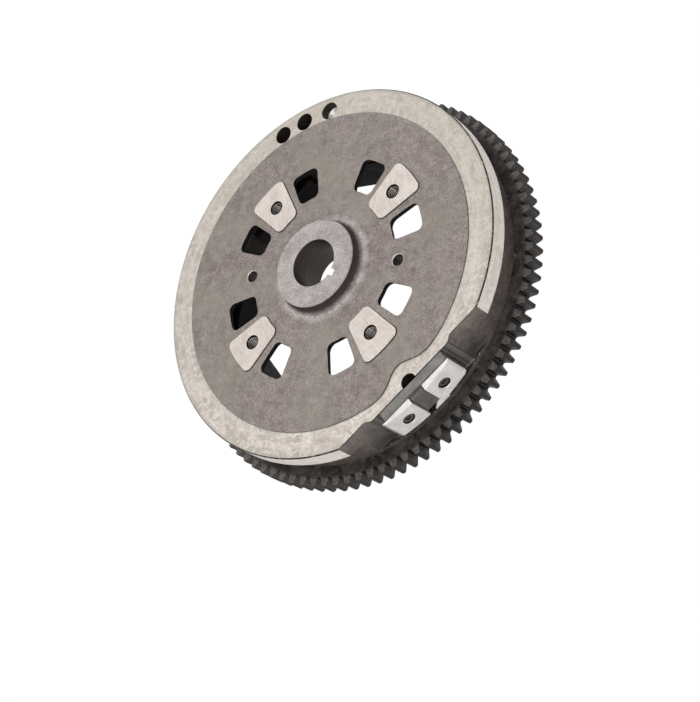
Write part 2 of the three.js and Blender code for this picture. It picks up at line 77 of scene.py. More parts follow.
FIT_GAP = 0.3
FACE_Z = BODY_Z + 0.9
PAD_Z = FACE_Z + 0.9
WEB_BACK_Z = FACE_Z - 5.0
BAND_BOTTOM_Z = BODY_Z - 12.2
SHOULDER_Z = RING_Z + FIT_GAP
HUB_BACK_Z = BOSS_Z - 26.5
MAGNET_LEDGE_Z = MAGNET_HIGH.z + FIT_GAP
BODY_RADIUS = BAND_RADIUS - 4.7
RING_SEAT_RADIUS = BODY_RADIUS - 1.8
ANNULUS_INNER_RADIUS = BAND_RADIUS - 15.4
RIM_INNER_RADIUS = BODY_RADIUS - 24.5
WEB_OUTER_RADIUS = RIM_INNER_RADIUS - 6.0
WEB_FILLET = 6.0
BOSS_RADIUS = 26.8
BOSS_COVE = 6.0
BOSS_EDGE = 0.9
HUB_BACK_RADIUS = 26.5
HUB_DRAFT = 1.2
HUB_FILLET = 4.0
HUB_END_ROUND = 1.0
FACE_RINGS = [88.0, 79.0, 68.0, 57.0, 46.0]  # radii that divide the flat of the face
BORE_FRONT_RADIUS = 14.1
BORE_BACK_RADIUS = 14.5
BORE_CHAMFER = 0.35
BAND_CHAMFER = 0.7
CAST_FILLET = 2.0
RIM_CHAMFER = 1.2
SEAT_EDGE = 0.5
STEP_ROUND = 0.35
EDGE_BREAK = 0.25
BODY_EDGE = 0.5
KEYWAY_WIDTH = 4.0
KEYWAY_DEPTH = 3.2
KEYWAY_ANGLE = -26.0
KEYWAY_CORNER = 0.3
MARK_PLACE = (-21.7, -2.95)
MARK_PROFILE = [(1.2, -0.18), (2.3, -0.16), (2.9, 0.0), (3.3, 0.4)]  # radius, height over the boss

PAD_ANGLES = [45.0, 135.0, 225.0, 315.0]
PAD_SECTOR = (44.0, 74.5, 20.5, 4.0)
PAD_HOLE_CIRCLE = 59.8
THREAD_MINOR_RADIUS = 3.3
THREAD_DEPTH = 0.65
THREAD_PITCH = 1.41
THREAD_SIDES = 36
THREAD_ROWS_PER_TURN = 8
THREAD_DARK_START = 0.45  # how deep in the thread the painted shade begins, as a share
PAD_HOLE_CHAMFER = 0.5
PAD_BOSS_RADIUS = 8.0
LOCATING_BOSS_RADIUS = 6.5
BACK_BOSS_RISE = 4.5

WINDOW_ANGLES = [22.5 + 45.0 * i for i in range(8)]
WINDOW_OUTER_RADIUS = WEB_OUTER_RADIUS - 9.5
WINDOW_SECTOR = (WINDOW_OUTER_RADIUS - 19.7, WINDOW_OUTER_RADIUS, 15.5, 3.6)
WINDOW_DRAFT = 1.2
WINDOW_EDGE = 0.6

LOCATING_CIRCLE = 52.5
LOCATING_RADIUS = 3.5
BALANCE_CIRCLE = BAND_RADIUS - 9.2
BALANCE_RADIUS = 5.25
BALANCE_DRILLINGS = [(98.75, 6.0), (109.0, 12.0), (118.0, 12.0)]  # angle, depth
DRILL_POINT = 0.3  # height of a drill's cone as a share of its diameter
DRILL_TIP = 0.04  # radius of the cone's blunt tip as a share of the drill's
HOLE_EDGE = 0.3

# ---- Sizes of the ignition pocket and its pack, in the pocket's own frame: +X outwards ----

POCKET_ANGLE = -45.0
POCKET_FLOOR_Z = SHOULDER_Z + 3.4
FLAT_X = BAND_RADIUS - 13.9
SEAT_X = FLAT_X + 3.0
SEAT_HALF_WIDTH = 30.0
SEAT_SLOPE = 3.5
SEAT_HOLE_RADIUS = 4.8
SEAT_HOLE_X = SEAT_X - 0.6
SEAT_HOLE_DEPTH = 20.0
FLOOR_FILLET = [(0.0, 1.6), (0.25, 0.9), (0.8, 0.3), (1.6, 0.0)]  # height over the floor, reach
FLAT_ROUND = 1.6
SEAT_ROUND = 1.0
LEDGE_SECTION = [(-0.9, 0.2), (0.8, -1.0), (0.8, 0.2)]  # from the body's radius and the floor
LEDGE_END_X = FLAT_X + 2.5
LEDGE_STEPS = 48
LOBE_RADIUS = 12.7
LOBE_SPREAD = 8.6
LOBE_STEPS = 60
PACK_MIDDLE = -1.0
PLATE_X = (SEAT_X + FIT_GAP, SEAT_X + FIT_GAP + 5.7)
PLATE_HALF_WIDTH = 23.8
SHOE_X = PLATE_X[1] + FIT_GAP
SHOE_RADIUS = BAND_RADIUS - 0.3
SHOE_INNER_OFFSET = 5.0
SHOE_WIDTH = 20.5
SHOE_CHAMFER = (1.0, 1.15)  # in from the shoe's face, and in from its far side
PLATE_EDGE = 0.45
SHOE_EDGE = 0.35
PACK_MAGNET_EDGE = 0.6
TAB_EDGE = 0.25
PACK_MAGNET_PROUD = 2.6
PACK_MAGNET_GAP = 0.7
SCREW_OFFSET = 13.8
SCREW_Z = (SHOE_LOW.z + SHOE_HIGH.z) / 2
SCREW_HEAD_RADIUS = 3.4
SCREW_NECK_X = SHOE_X + 0.8 + FIT_GAP
SCREW_HEAD_X = SCREW_NECK_X + 1.3
SCREW_END_X = SEAT_X - 9.0
SCREW_SHANK_RADIUS = 2.1
SCREW_SOCKET_RADIUS = 1.7
SCREW_SOCKET_DEPTH = 0.9
SCREW_TURNS = 18
SCREW_CLEARANCE = SCREW_SHANK_RADIUS + FIT_GAP
SCREW_CENTRE = 0.05  # radius of the small flats that close a screw's two ends
SCREW_ROUND = 0.35
TAB_THICKNESS = 1.4
TAB_POINT_REACH = 7.0
TAB_TOP_REACH = 2.3
TAB_UNDERLAP = 4.0

# ---- Sizes of the ring gear and the alternator magnets ----

TOOTH_COUNT = 93
TOOTH_MODULE = 2.54
PRESSURE_ANGLE = 20.0
FIRST_TOOTH_ANGLE = 3.24
PITCH_RADIUS = TOOTH_COUNT * TOOTH_MODULE / 2
TIP_RADIUS = PITCH_RADIUS + TOOTH_MODULE - 0.01
ROOT_RADIUS = PITCH_RADIUS - 1.25 * TOOTH_MODULE
RING_BORE_RADIUS = ROOT_RADIUS - 7.9
TOOTH_LEAD_IN = 1.0  # height of the bevel on the teeth's front ends
TOOTH_TIP_ROUND = 0.35
FLANK_RADII = [ROOT_RADIUS + 0.75, *[PITCH_RADIUS + rise for rise in (-0.9, 0.3, 1.4)]]
FLANK_RADII.append(TIP_RADIUS - TOOTH_TIP_ROUND)
RING_BORE_CHAMFER = 0.7

MAGNET_FIRST_ANGLE = 0.9
MAGNET_BACK_RADIUS = RIM_INNER_RADIUS - FIT_GAP
MAGNET_FACE_X = MAGNET_BACK_RADIUS - 12.9
MAGNET_SPACING = 9.9
MAGNET_CORNER = 0.8
MAGNET_EDGE = 0.5

LATHE_SEGMENTS = 288
CORNER_STEPS = 5
TOLERANCE = 0.01
OVERCUT = 1.0  # how far a cutter runs past the surface it cuts

# ---- Colours that lie over a finish, and where they lie: sRGB, and millimetres ----

PATINA = 0x969183
# Painted shadow in the cove round the boss, and a painted highlight ring just outside it
COVE_SHADOW = 0x2E2525
COVE_SHADOW_REACH = (BOSS_RADIUS + 0.6, BOSS_RADIUS + 3.2)
COVE_HIGHLIGHT_REACH = (BOSS_RADIUS + 2.8, BOSS_RADIUS + 7.0)
# Painted shade on the pocket's flats, darker down towards the pocket's floor
POCKET_PAINTED_SHADE = 0x26201E
POCKET_SHADE_REACH = (POCKET_FLOOR_Z, BODY_Z - 3.0)
# Painted shade on the turned face, greyer towards +Y
FAR_PAINTED_SHADE = 0xB4AEA0
FAR_SHADE_REACH = (-90.0, 60.0)
# Painted shade on the turned face's outer strip, next to the band
RIM_PAINTED_SHADE = 0x929286
RIM_SHADE_REACH = (BAND_RADIUS - 2.6, BAND_RADIUS - 0.7)
MILL_CENTRE = (120.0, 75.0)

# ---- Floor, light and camera, in metres ----

BLACK = (0.0, 0.0, 0.0, 1.0)
WHITE = (1.0, 1.0, 1.0, 1.0)
FLOOR_REACH = 6.0
FLOOR_DROP = 0.0006
SOFTBOXES = {  # direction, distance, size and power
    "key": ((-0.46, 0.36, 0.8), 2.6, 1.5, 24.0),
    "fill": ((0.42, -0.4, 0.72), 1.9, 1.3, 23.5),
}
WORLD_STRENGTH = 0.3
CAMERA_LENS = 88.57  # in millimetres, as is the sensor
SENSOR_WIDTH = 36.0
CAMERA_PLACE = (0.6004, -0.3378, 0.7491)
CAMERA_RIGHT = (0.7982442, 0.15211278, -0.58281035)
CAMERA_UP = (0.061881, 0.94175677, 0.33055246)


# ---- Mesh building ----


def polar(radius, angle, z=0.0):
    """A point at a radius and an angle in degrees."""
    return Vector((radius * math.cos(math.radians(angle)), radius * math.sin(math.radians(angle)), z))


def arc(centre, radius, start, end, steps):
    """Points on an arc in a plane, both ends included; angles in degrees."""
    angles = [math.radians(start + (end - start) * i / steps) for i in range(steps + 1)]
    return [(centre[0] + radius * math.cos(a), centre[1] + radius * math.sin(a)) for a in angles]


def linked(name, data):
    """A new object in the scene."""
    obj = bpy.data.objects.new(name, data)
    bpy.context.collection.objects.link(obj)
    return obj


def mesh_object(name, verts, faces, regions, materials):
    """A closed mesh, given in millimetres, as an object in metres with its normals outward."""
    mesh = bpy.data.meshes.new(name)
    mesh.from_pydata([tuple(v) for v in verts], [], faces)
    for material in materials:
        mesh.materials.append(material)
    mesh.polygons.foreach_set("material_index", regions)
    bm = bmesh.new()
    bm.from_mesh(mesh)
    bmesh.ops.remove_doubles(bm, verts=bm.verts, dist=1e-5)
    bmesh.ops.recalc_face_normals(bm, faces=bm.faces)
    bm.to_mesh(mesh)
    bm.free()
    mesh.transform(Matrix.Scale(MM, 4))
    return linked(name, mesh)


def ring_faces(here, after, count):
    """Faces between two loops of count points each, from the numbers of their first points."""
    turn = [(i, (i + 1) % count) for i in range(count)]
    return [(here + i, here + j, after + j, after + i) for i, j in turn]


def lathe(outline):
    """A closed outline of (radius, z, region) turned round Z: a region covers the next stretch."""
    count = len(outline)
    verts = []
    faces = []
    regions = []
    for s in range(LATHE_SEGMENTS):
        verts += [polar(radius, 360.0 * s / LATHE_SEGMENTS, z) for radius, z, _ in outline]
    for s in range(LATHE_SEGMENTS):
        faces += ring_faces(s * count, (s + 1) % LATHE_SEGMENTS * count, count)
        regions += [region for _, _, region in outline]
    return verts, faces, regions


def loft(sections, side_regions, cap_region=None):
    """Loops of equal length as a closed tube; one region for all, or one for each gap."""
    count = len(sections[0])
    gaps = len(sections) - 1
    if isinstance(side_regions, int):
        side_regions = [side_regions] * gaps
    verts = [point for section in sections for point in section]
    faces = []
    regions = []
    for k in range(gaps):
        faces += ring_faces(k * count, (k + 1) * count, count)
        regions += [side_regions[k]] * count
    last = gaps * count
    cap = side_regions[-1] if cap_region is None else cap_region
    faces += [tuple(range(count)), tuple(range(last, last + count))]
    regions += [cap, cap]
    return verts, faces, regions


def prism(plan, levels, region, cap_region=None):
    """A plan of (x, y) drawn straight up between two heights."""
    return loft([[Vector((x, y, z)) for x, y in plan] for z in levels], region, cap_region)


def sector(inner, outer, angle, corner, grow, z):
    """A ring sector's loop centred on +X with rounded corners, grown outwards by grow."""
    middle = (inner + outer) / 2
    inner, outer, corner = inner - grow, outer + grow, corner + grow
    half = angle / 2 + math.degrees(grow / middle)
    loop = []
    ends = [(outer, -1, 1, -90.0), (outer, 1, 1, 0.0), (inner, 1, -1, 90.0), (inner, -1, -1, 180.0)]
    for radius, side, outward, start in ends:
        centre = radius - outward * corner
        for u, v in arc((0.0, 0.0), corner, start, start + 90.0, 6):
            turn = side * half - math.degrees(side * corner / centre) + math.degrees(v / centre)
            loop.append(polar(centre + u, turn, z))
        if outward == -side:
            loop += [polar(radius, side * (half - half * t / 4), z) for t in range(2, 7)]
    return loop


def circle(radius, z, count):
    """A level loop of points."""
    return [polar(radius, 360.0 * i / count, z) for i in range(count)]


def sector_stack(size, levels):
    """Ring sectors at levels of (z, growth, region) joined into one closed shape."""
    sections = [sector(*size, grow, z) for z, grow, _ in levels]
    return loft(sections, [region for _, _, region in levels])


def stack(profile, regions, count=48, cap_region=None):
    """Circles of (radius, z) joined into one closed shape."""
    return loft([circle(radius, z, count) for radius, z in profile], regions, cap_region)


def modified(obj, kind, **settings):
    """The object with one modifier applied to its mesh."""
    modifier = obj.modifiers.new(kind.lower(), kind)
    for key, value in settings.items():
        setattr(modifier, key, value)
    graph = bpy.context.evaluated_depsgraph_get()
    mesh = bpy.data.meshes.new_from_object(obj.evaluated_get(graph))
    before = obj.data
    obj.modifiers.clear()
    obj.data = mesh
    mesh.name = obj.name
    bpy.data.meshes.remove(before)
    return obj


def edge_rounded(obj, width, segments=2, angle=40.0):
    """The object with its edges rounded where the surface turns by more than the angle."""
    limit = {"limit_method": "ANGLE", "angle_limit": math.radians(angle)}
    return modified(obj, "BEVEL", width=width * MM, segments=segments, **limit)


def combined(obj, operation, shapes, materials):
    """Adds closed shapes to obj or cuts them away, one after another."""
    for verts, faces, regions in shapes:
        tool = mesh_object("tool", verts, faces, regions, materials)
        modified(obj, "BOOLEAN", operation=operation, object=tool, solver="MANIFOLD")
        mesh = tool.data
        bpy.data.objects.remove(tool)
        bpy.data.meshes.remove(mesh)


def joined(shapes):
    """Closed shapes that don't touch each other, as one."""
    verts, faces, regions = [], [], []
    for v, f, r in shapes:
        start = len(verts)
        verts += v
        faces += [tuple(index + start for index in face) for face in f]
        regions += r
    return verts, faces, regions


def turned_shape(shape, angle):
    """A shape turned about Z by an angle in degrees."""
    turn = Matrix.Rotation(math.radians(angle), 3, "Z")
    return [turn @ v for v in shape[0]], *shape[1:]


def finished(obj, node, sharp=30.0):
    """Smooth shading with sharp edges; the piece takes its CAD node's place."""
    mesh = obj.data
    mesh.polygons.foreach_set("use_smooth", [True] * len(mesh.polygons))
    mesh.set_sharp_from_angle(angle=math.radians(sharp))
    weighted = obj.modifiers.new("weighted_normals", "WEIGHTED_NORMAL")
    weighted.keep_sharp = True
    weighted.weight = 90
    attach(obj, "root")
    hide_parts(node)


# ---- Materials ----


def linear(colour, share=1.0):
    """A 0xRRGGBB colour in sRGB, made lighter or darker by a share, as linear RGBA."""
    channels = [min(value * share, 255) / 255.0 for value in colour.to_bytes(3, "big")]
    return (*[c / 12.92 if c <= 0.04045 else ((c + 0.055) / 1.055) ** 2.4 for c in channels], 1.0)


class Finish:
    """A procedural material under construction: a node tree with short ways to add to it."""

    def __init__(self, name, metallic, specular):
        self.material = bpy.data.materials.new(name)
        self.material.use_nodes = True
        self.tree = self.material.node_tree
        self.shader = self.tree.nodes["Principled BSDF"]
        self.shader.inputs["Metallic"].default_value = metallic
        self.shader.inputs["Specular IOR Level"].default_value = specular
        self.place = self.add("ShaderNodeTexCoord").outputs["Object"]

    def add(self, kind, inputs=None, **settings):
        node = self.tree.nodes.new(kind)
        for key, value in settings.items():
            setattr(node, key, value)
        for key, value in (inputs or {}).items():
            if isinstance(value, bpy.types.NodeSocket):
                self.tree.links.new(value, node.inputs[key])
            else:
                node.inputs[key].default_value = value
        return node

    def noise(self, size_mm, detail, roughness, place=None, distortion=0.0):
        """Noise from 0 to 1 whose blotches are about size_mm across."""
        inputs = {"Vector": place or self.place, "Scale": 1.0 / (size_mm * MM)}
        inputs |= {"Detail": detail, "Roughness": roughness, "Distortion": distortion}
        return self.add("ShaderNodeTexNoise", inputs).outputs["Fac"]

    def cells(self, size_mm):
        """Distance to the nearest of scattered points about size_mm apart."""
        inputs = {"Vector": self.place, "Scale": 1.0 / (size_mm * MM)}
        return self.add("ShaderNodeTexVoronoi", inputs).outputs["Distance"]

    def ramp(self, value, low, high, to_low=0.0, to_high=1.0):
        """Value spread from low..high to to_low..to_high, clamped."""
        inputs = {"Value": value, "From Min": low, "From Max": high, "To Min": to_low, "To Max": to_high}
        return self.add("ShaderNodeMapRange", inputs).outputs["Result"]

    def mix(self, factor, first, second):
        """Two colours mixed; the Mix node's colour sockets are 6 and 7, and its colour output is 2."""
        return self.add("ShaderNodeMix", {0: factor, 6: first, 7: second}, data_type="RGBA").outputs[2]

    def between(self, value, spread, first, second):
        """One sRGB colour running into another over the value's spread."""
        return self.mix(self.ramp(value, *spread), linear(first), linear(second))

    def coats(self, colour, *layers):
        """The colour under layers of (value, its spread, cover at both ends, colour, share)."""
        for value, spread, cover, *over in layers:
            colour = self.mix(self.ramp(value, *spread, *cover), colour, linear(*over))
        return colour

    def math(self, operation, first, second=0.0):
        """One math node."""
        return self.add("ShaderNodeMath", {0: first, 1: second}, operation=operation).outputs[0]

    def ramp_mm(self, value, low, high, to_low, to_high):
        """A distance in metres spread from low..high in millimetres, clamped."""
        return self.ramp(value, low * MM, high * MM, to_low, to_high)

    def axes(self):
        """The x, y and z of the place, in metres."""
        node = self.add("ShaderNodeSeparateXYZ", {"Vector": self.place})
        return node.outputs["X"], node.outputs["Y"], node.outputs["Z"]

    def radius(self, centre=(0.0, 0.0)):
        """Distance from an upright axis, in metres."""
        away = [self.math("SUBTRACT", v, middle * MM) for v, middle in zip(self.axes(), centre)]
        squares = [self.math("MULTIPLY", v, v) for v in away]
        return self.math("SQRT", self.math("ADD", *squares))

    def along(self, value, wobble):
        """A place that changes with one value, for grooves, and by a small share with x and y."""
        x, y, _ = self.axes()
        stray = [self.math("MULTIPLY", v, wobble) for v in (x, y)]
        node = self.add("ShaderNodeCombineXYZ", {"X": value, "Y": stray[0], "Z": stray[1]})
        return node.outputs[0]

    def done(self, colour, roughness, *bumps):
        """The material from a colour, roughness as (value, low, high) and bumps (value, depth in mm)."""
        normal = {}
        for height, depth_mm in bumps:
            inputs = {"Height": height, "Distance": depth_mm * MM, "Strength": 1.0, **normal}
            normal = {"Normal": self.add("ShaderNodeBump", inputs).outputs["Normal"]}
        value, low, high = roughness
        sockets = {"Base Color": colour, "Roughness": self.ramp(value, 0.3, 0.7, low, high), **normal}
        for key, socket in sockets.items():
            self.tree.links.new(socket, self.shader.inputs[key])
        return self.material


def sand_cast(
    name,
    dark,
    middle,
    light,
    depth=0.28,
    roughness=(0.6, 0.85),
    metallic=0.15,
    specular=0.4,
    cove_highlight=None,
    shaded=None,
):
    """Grey iron as it comes out of the sand: mottled, granular, with small pits; it can also carry a
    painted highlight ring and a painted shadow round the boss, and painted shade towards a pocket's
    floor.
    """
    f = Finish(name, metallic, specular)
    blotch = f.noise(26.0, 4.0, 0.6)
    patch = f.noise(6.0, 5.0, 0.65)
    grain = f.noise(0.9, 3.0, 0.7)
    pits = f.ramp(f.cells(1.7), 0.0, 0.3)
    colour = f.coats(
        f.between(blotch, (0.35, 0.68), dark, middle),
        (patch, (0.38, 0.7), (0.0, 0.75), light),
        (grain, (0.34, 0.54), (0.55, 0.0), dark, 0.6),
        (grain, (0.58, 0.74), (0.0, 0.55), light, 1.2),
    )
    # On the face: patina patches, a painted highlight ring outside the boss's cove, and painted shadow in
    # the cove
    if cove_highlight:
        tint = f.noise(38.0, 3.0, 0.5, distortion=0.5)
        colour = f.coats(colour, (tint, (0.47, 0.6), (0.0, 0.42), PATINA))
        stray = f.math("MULTIPLY", f.noise(1.6, 3.0, 0.7), 1.6 * MM)
        reach = f.math("SUBTRACT", f.math("ADD", f.radius(), stray), 0.8 * MM)
        ring = f.ramp_mm(reach, *COVE_HIGHLIGHT_REACH, 1.0, 0.0)
        ring = f.math("MULTIPLY", ring, f.ramp(grain, 0.38, 0.56, 0.45, 1.0))
        ring = f.math("MULTIPLY", ring, f.ramp(patch, 0.38, 0.58, 0.45, 1.0))
        colour = f.mix(ring, colour, linear(cove_highlight))
        colour = f.mix(f.ramp_mm(reach, *COVE_SHADOW_REACH, 0.95, 0.0), colour, linear(COVE_SHADOW))
    # Painted shade: darker down towards the pocket's floor
    if shaded:
        height = f.math("ADD", f.axes()[2], f.math("MULTIPLY", patch, 3.0 * MM))
        colour = f.mix(f.ramp_mm(height, *shaded, 0.85, 0.0), colour, linear(POCKET_PAINTED_SHADE))
    specks = f.cells(7.0)
    colour = f.coats(colour, (specks, (0.03, 0.07), (0.7, 0.0), dark, 0.4))
    return f.done(colour, (grain, *roughness), (patch, depth), (grain, depth * 0.5), (pits, depth * 0.22))


def lathe_turned(name, dark, middle, light, upright=False, metallic=0.3):
    """Turned iron: fine grooves round the axis, grey graphite pores, smears and stains; a flat turned
    face also gets painted shade towards +Y and at its outer edge.
    """
    f = Finish(name, metallic, 0.3)
    line = f.axes()[2] if upright else f.radius()
    grooves = f.noise(0.35, 2.0, 0.6, f.along(line, 0.02))
    bands = f.noise(3.4, 3.0, 0.6, f.along(line, 0.12))
    stain = f.noise(15.0, 5.0, 0.62, distortion=0.6)
    smear = f.noise(5.0, 4.0, 0.65, distortion=1.2)
    mottle = f.noise(1.6, 4.0, 0.65)
    pores = f.cells(1.1)
    colour = f.coats(
        f.between(stain, (0.38, 0.62), dark, middle),
        (bands, (0.45, 0.66), (0.0, 0.45), light),
        (smear, (0.44, 0.62), (0.0, 0.7), light),
        (mottle, (0.5, 0.68), (0.0, 0.5), dark),
        (grooves, (0.3, 0.5), (0.28, 0.0), dark, 0.8),
    )
    if not upright:
        # Painted shade: the turned face greyer towards +Y
        colour = f.mix(f.ramp_mm(f.axes()[1], *FAR_SHADE_REACH, 0.0, 0.42), colour, linear(FAR_PAINTED_SHADE))
        # Painted shade: greyer towards the outer edge
        colour = f.mix(f.ramp_mm(line, *RIM_SHADE_REACH, 0.0, 0.4), colour, linear(RIM_PAINTED_SHADE))
    colour = f.coats(colour, (pores, (0.03, 0.14), (0.6, 0.0), dark, 0.45))
    return f.done(colour, (stain, 0.5, 0.66), (grooves, 0.03), (bands, 0.02), (mottle, 0.03))


def milled(name, dark, middle, light):
    """Pads faced by a cutter: sweeping arcs, pores and a slight polish."""
    f = Finish(name, 0.3, 0.3)
    sweep = f.noise(0.8, 2.0, 0.6, f.along(f.radius(MILL_CENTRE), 0.12))
    stain = f.noise(9.0, 4.0, 0.6)
    mottle = f.noise(1.3, 3.0, 0.7)
    pores = f.cells(1.3)
    colour = f.coats(
        f.between(stain, (0.36, 0.66), dark, middle),
        (sweep, (0.45, 0.68), (0.0, 0.35), light),
        (mottle, (0.54, 0.72), (0.0, 0.55), dark),
        (mottle, (0.28, 0.44), (0.5, 0.0), light),
        (pores, (0.04, 0.16), (0.55, 0.0), dark, 0.5),
    )
    return f.done(colour, (stain, 0.45, 0.62), (sweep, 0.03), (mottle, 0.03))


def bored(name, dark, middle):
    """Bores and drillings: dark oily iron with rings left by the tool."""
    f = Finish(name, 0.6, 0.5)
    rings = f.noise(0.45, 2.0, 0.6, f.along(f.axes()[2], 0.04))
    film = f.noise(6.0, 4.0, 0.6)
    colour = f.between(film, (0.35, 0.68), dark, middle)
    colour = f.coats(colour, (rings, (0.35, 0.6), (0.4, 0.0), dark, 0.55))
    return f.done(colour, (film, 0.35, 0.6), (rings, 0.04))


def broached_seat(name, dark, middle, light):
    """The pocket's machined seat: dark, with pale upright lines left by the cutter."""
    f = Finish(name, 0.4, 0.5)
    x, y, _ = f.axes()
    line = f.math("ADD", x, y)
    lines = f.noise(2.1, 3.0, 0.7, f.along(line, 0.2))
    film = f.noise(5.0, 4.0, 0.6)
    colour = f.between(film, (0.35, 0.68), dark, middle)
    colour = f.coats(colour, (lines, (0.5, 0.62), (0.0, 0.5), light))
    return f.done(colour, (film, 0.4, 0.65), (lines, 0.05), (film, 0.06))


def hardened_gear(name, dark, middle, worn):
    """Hardened, oiled gear steel: blue-black scale, bright nicks that are partly painted glints, thickest
    by the body's edge, teeth worn at their tips.
    """
    f = Finish(name, 0.2, 0.35)
    scale = f.noise(7.0, 5.0, 0.65)
    grain = f.noise(0.8, 3.0, 0.7)
    nicks_and_glints = f.noise(1.3, 5.0, 0.75, distortion=1.0)
    near_body = f.ramp_mm(f.radius(), BODY_RADIUS + 0.6, BODY_RADIUS + 2.4, 1.0, 0.35)
    teeth = f.ramp_mm(f.radius(), ROOT_RADIUS - 0.5, ROOT_RADIUS + 1.5, 0.0, 1.0)
    wear = f.math("MULTIPLY", teeth, f.ramp(grain, 0.35, 0.65, 0.25, 0.9))
    tips = f.ramp_mm(f.radius(), TIP_RADIUS - 0.9, TIP_RADIUS - 0.4, 0.0, 1.0)
    colour = f.between(scale, (0.4, 0.62), dark, middle)
    colour = f.mix(wear, colour, linear(worn))
    # Bright nicks, and painted glints along the edge by the body
    nicks_and_glints = f.math("MULTIPLY", f.ramp(nicks_and_glints, 0.61, 0.69), near_body)
    colour = f.mix(nicks_and_glints, colour, linear(worn, 1.8))
    colour = f.mix(f.math("MULTIPLY", tips, 0.85), colour, linear(dark, 0.3))
    colour = f.coats(colour, (grain, (0.3, 0.5), (0.4, 0.0), dark, 0.6))
    return f.done(colour, (scale, 0.45, 0.68), (scale, 0.12), (grain, 0.08))


def ferrite(name, dark, middle, specular=0.4):
    """Sintered ferrite: matte, nearly black, with a fine tooth and paler rubbed spots."""
    f = Finish(name, 0.0, specular)
    cloud = f.noise(8.0, 4.0, 0.6)
    grain = f.noise(0.9, 3.0, 0.7)
    chips = f.cells(2.4)
    colour = f.coats(
        f.between(cloud, (0.35, 0.68), dark, middle),
        (grain, (0.6, 0.78), (0.0, 0.4), middle, 1.5),
        (chips, (0.03, 0.12), (0.5, 0.0), dark, 0.5),
    )
    return f.done(colour, (cloud, 0.6, 0.8), (grain, 0.06), (f.ramp(chips, 0.0, 0.2), 0.05))


def ground_steel(name, dark, middle, light, metallic, roughness, line_mm=0.3):
    """Ground or turned steel: fine lines along one way, with light smears and small stains."""
    f = Finish(name, metallic, 0.5)
    line = f.noise(line_mm, 2.0, 0.6, f.along(f.axes()[2], 0.05))
    smear = f.noise(6.0, 4.0, 0.6, distortion=0.5)
    spots = f.noise(1.6, 3.0, 0.6)
    colour = f.coats(
        f.between(smear, (0.34, 0.66), middle, light),
        (line, (0.3, 0.55), (0.3, 0.0), dark),
        (spots, (0.62, 0.78), (0.0, 0.5), dark),
    )
    return f.done(colour, (smear, *roughness), (line, 0.02), (spots, 0.03))


def painted_glint_edge(name, dark, middle, bright):
    """An edge made dark as painted shade, with small irregular bright patches painted as glints."""
    f = Finish(name, 0.2, 0.4)
    scale = f.noise(6.0, 4.0, 0.6)
    glint_noise = f.noise(1.8, 5.0, 0.75, distortion=0.8)
    reach = f.noise(14.0, 3.0, 0.5)
    colour = f.between(scale, (0.35, 0.68), dark, middle)
    glints = f.math("MULTIPLY", f.ramp(glint_noise, 0.52, 0.62), f.ramp(reach, 0.42, 0.58, 0.25, 0.9))
    colour = f.mix(glints, colour, linear(bright))
    return f.done(colour, (scale, 0.45, 0.7), (scale, 0.1), (glint_noise, 0.08))


# The casting's regions, in the order of its material slots
FACE, BOSS, ANNULUS, BAND, PAD, BORE, SIDE, INSIDE, THREAD, WALL, SEAT, EDGE = range(12)
CREASE, FRESH, LEDGE, FLAT, FLOOR = range(12, 17)
CASTING_FINISHES = [
    # The cast face carries the painted highlight ring and the painted shadow round the boss
    sand_cast("iron_cast_face", 0x837874, 0x998E8A, 0xB2A7A3, cove_highlight=0xD8CECC),
    sand_cast("iron_boss_face", 0xA09794, 0xB8AFAC, 0xD4CCCA, depth=0.16),
    lathe_turned("iron_turned_annulus", 0xACA399, 0xD2C9C0, 0xECE4DD),
    lathe_turned("iron_turned_band", 0xD4CCC3, 0xEAE3DB, 0xF6F1EB, True, 0.6),
    milled("iron_milled_pad", 0xBEB3AB, 0xDCD3CC, 0xEEE7E1),
    bored("iron_bored", 0x342C2A, 0x483F3B),
    sand_cast("iron_cast_side", 0x4A413D, 0x625954, 0x7C726C, roughness=(0.5, 0.75)),
    sand_cast("iron_cast_inside", 0x2E2927, 0x3E3835, 0x544D49, metallic=0.05, specular=0.12),
    # Thread crests pale as painted glints
    bored("iron_thread_painted_glints", 0x8A827B, 0xBEB6AE),
    # Window walls near-black as painted shade
    sand_cast("iron_window_wall_painted_shade", 0x0E0B0A, 0x161210, 0x221D1B, metallic=0.0, specular=0.03),
    broached_seat("iron_pocket_seat", 0x403B37, 0x5A5550, 0x948F88),
    # Near-black painted shade for the bore's back edge, the threads' deeper faces and the pocket's upper
    # edge
    bored("iron_edge_painted_shade", 0x14110F, 0x221E1B),
    # Steps, pad sides and the lobe's wall: dark scale, darkened further as painted shade
    sand_cast("iron_step_scale_and_painted_shade", 0x2C2624, 0x403834, 0x5C524D, metallic=0.1),
    ground_steel("iron_fresh_drilling", 0xAAA59E, 0xE2DED6, 0xFAF8F2, 0.5, (0.3, 0.5)),
    # The ledge and edge strips: dark as painted shade, with painted glints
    painted_glint_edge("iron_ledge_painted_shade_and_glints", 0x221D1B, 0x36302D, 0xACA39B),
    # The pocket's flats take painted shade towards the floor
    sand_cast("iron_pocket_flat", 0x605752, 0x7A716C, 0x948B85, shaded=POCKET_SHADE_REACH),
    # The pocket's floor near-black as painted shade
    sand_cast("iron_pocket_floor_painted_shade", 0x1E1A18, 0x2A2522, 0x3E3733),
]
GEAR_FINISH = hardened_gear("gear_steel", 0x2E2826, 0x524B48, 0x7C7774)
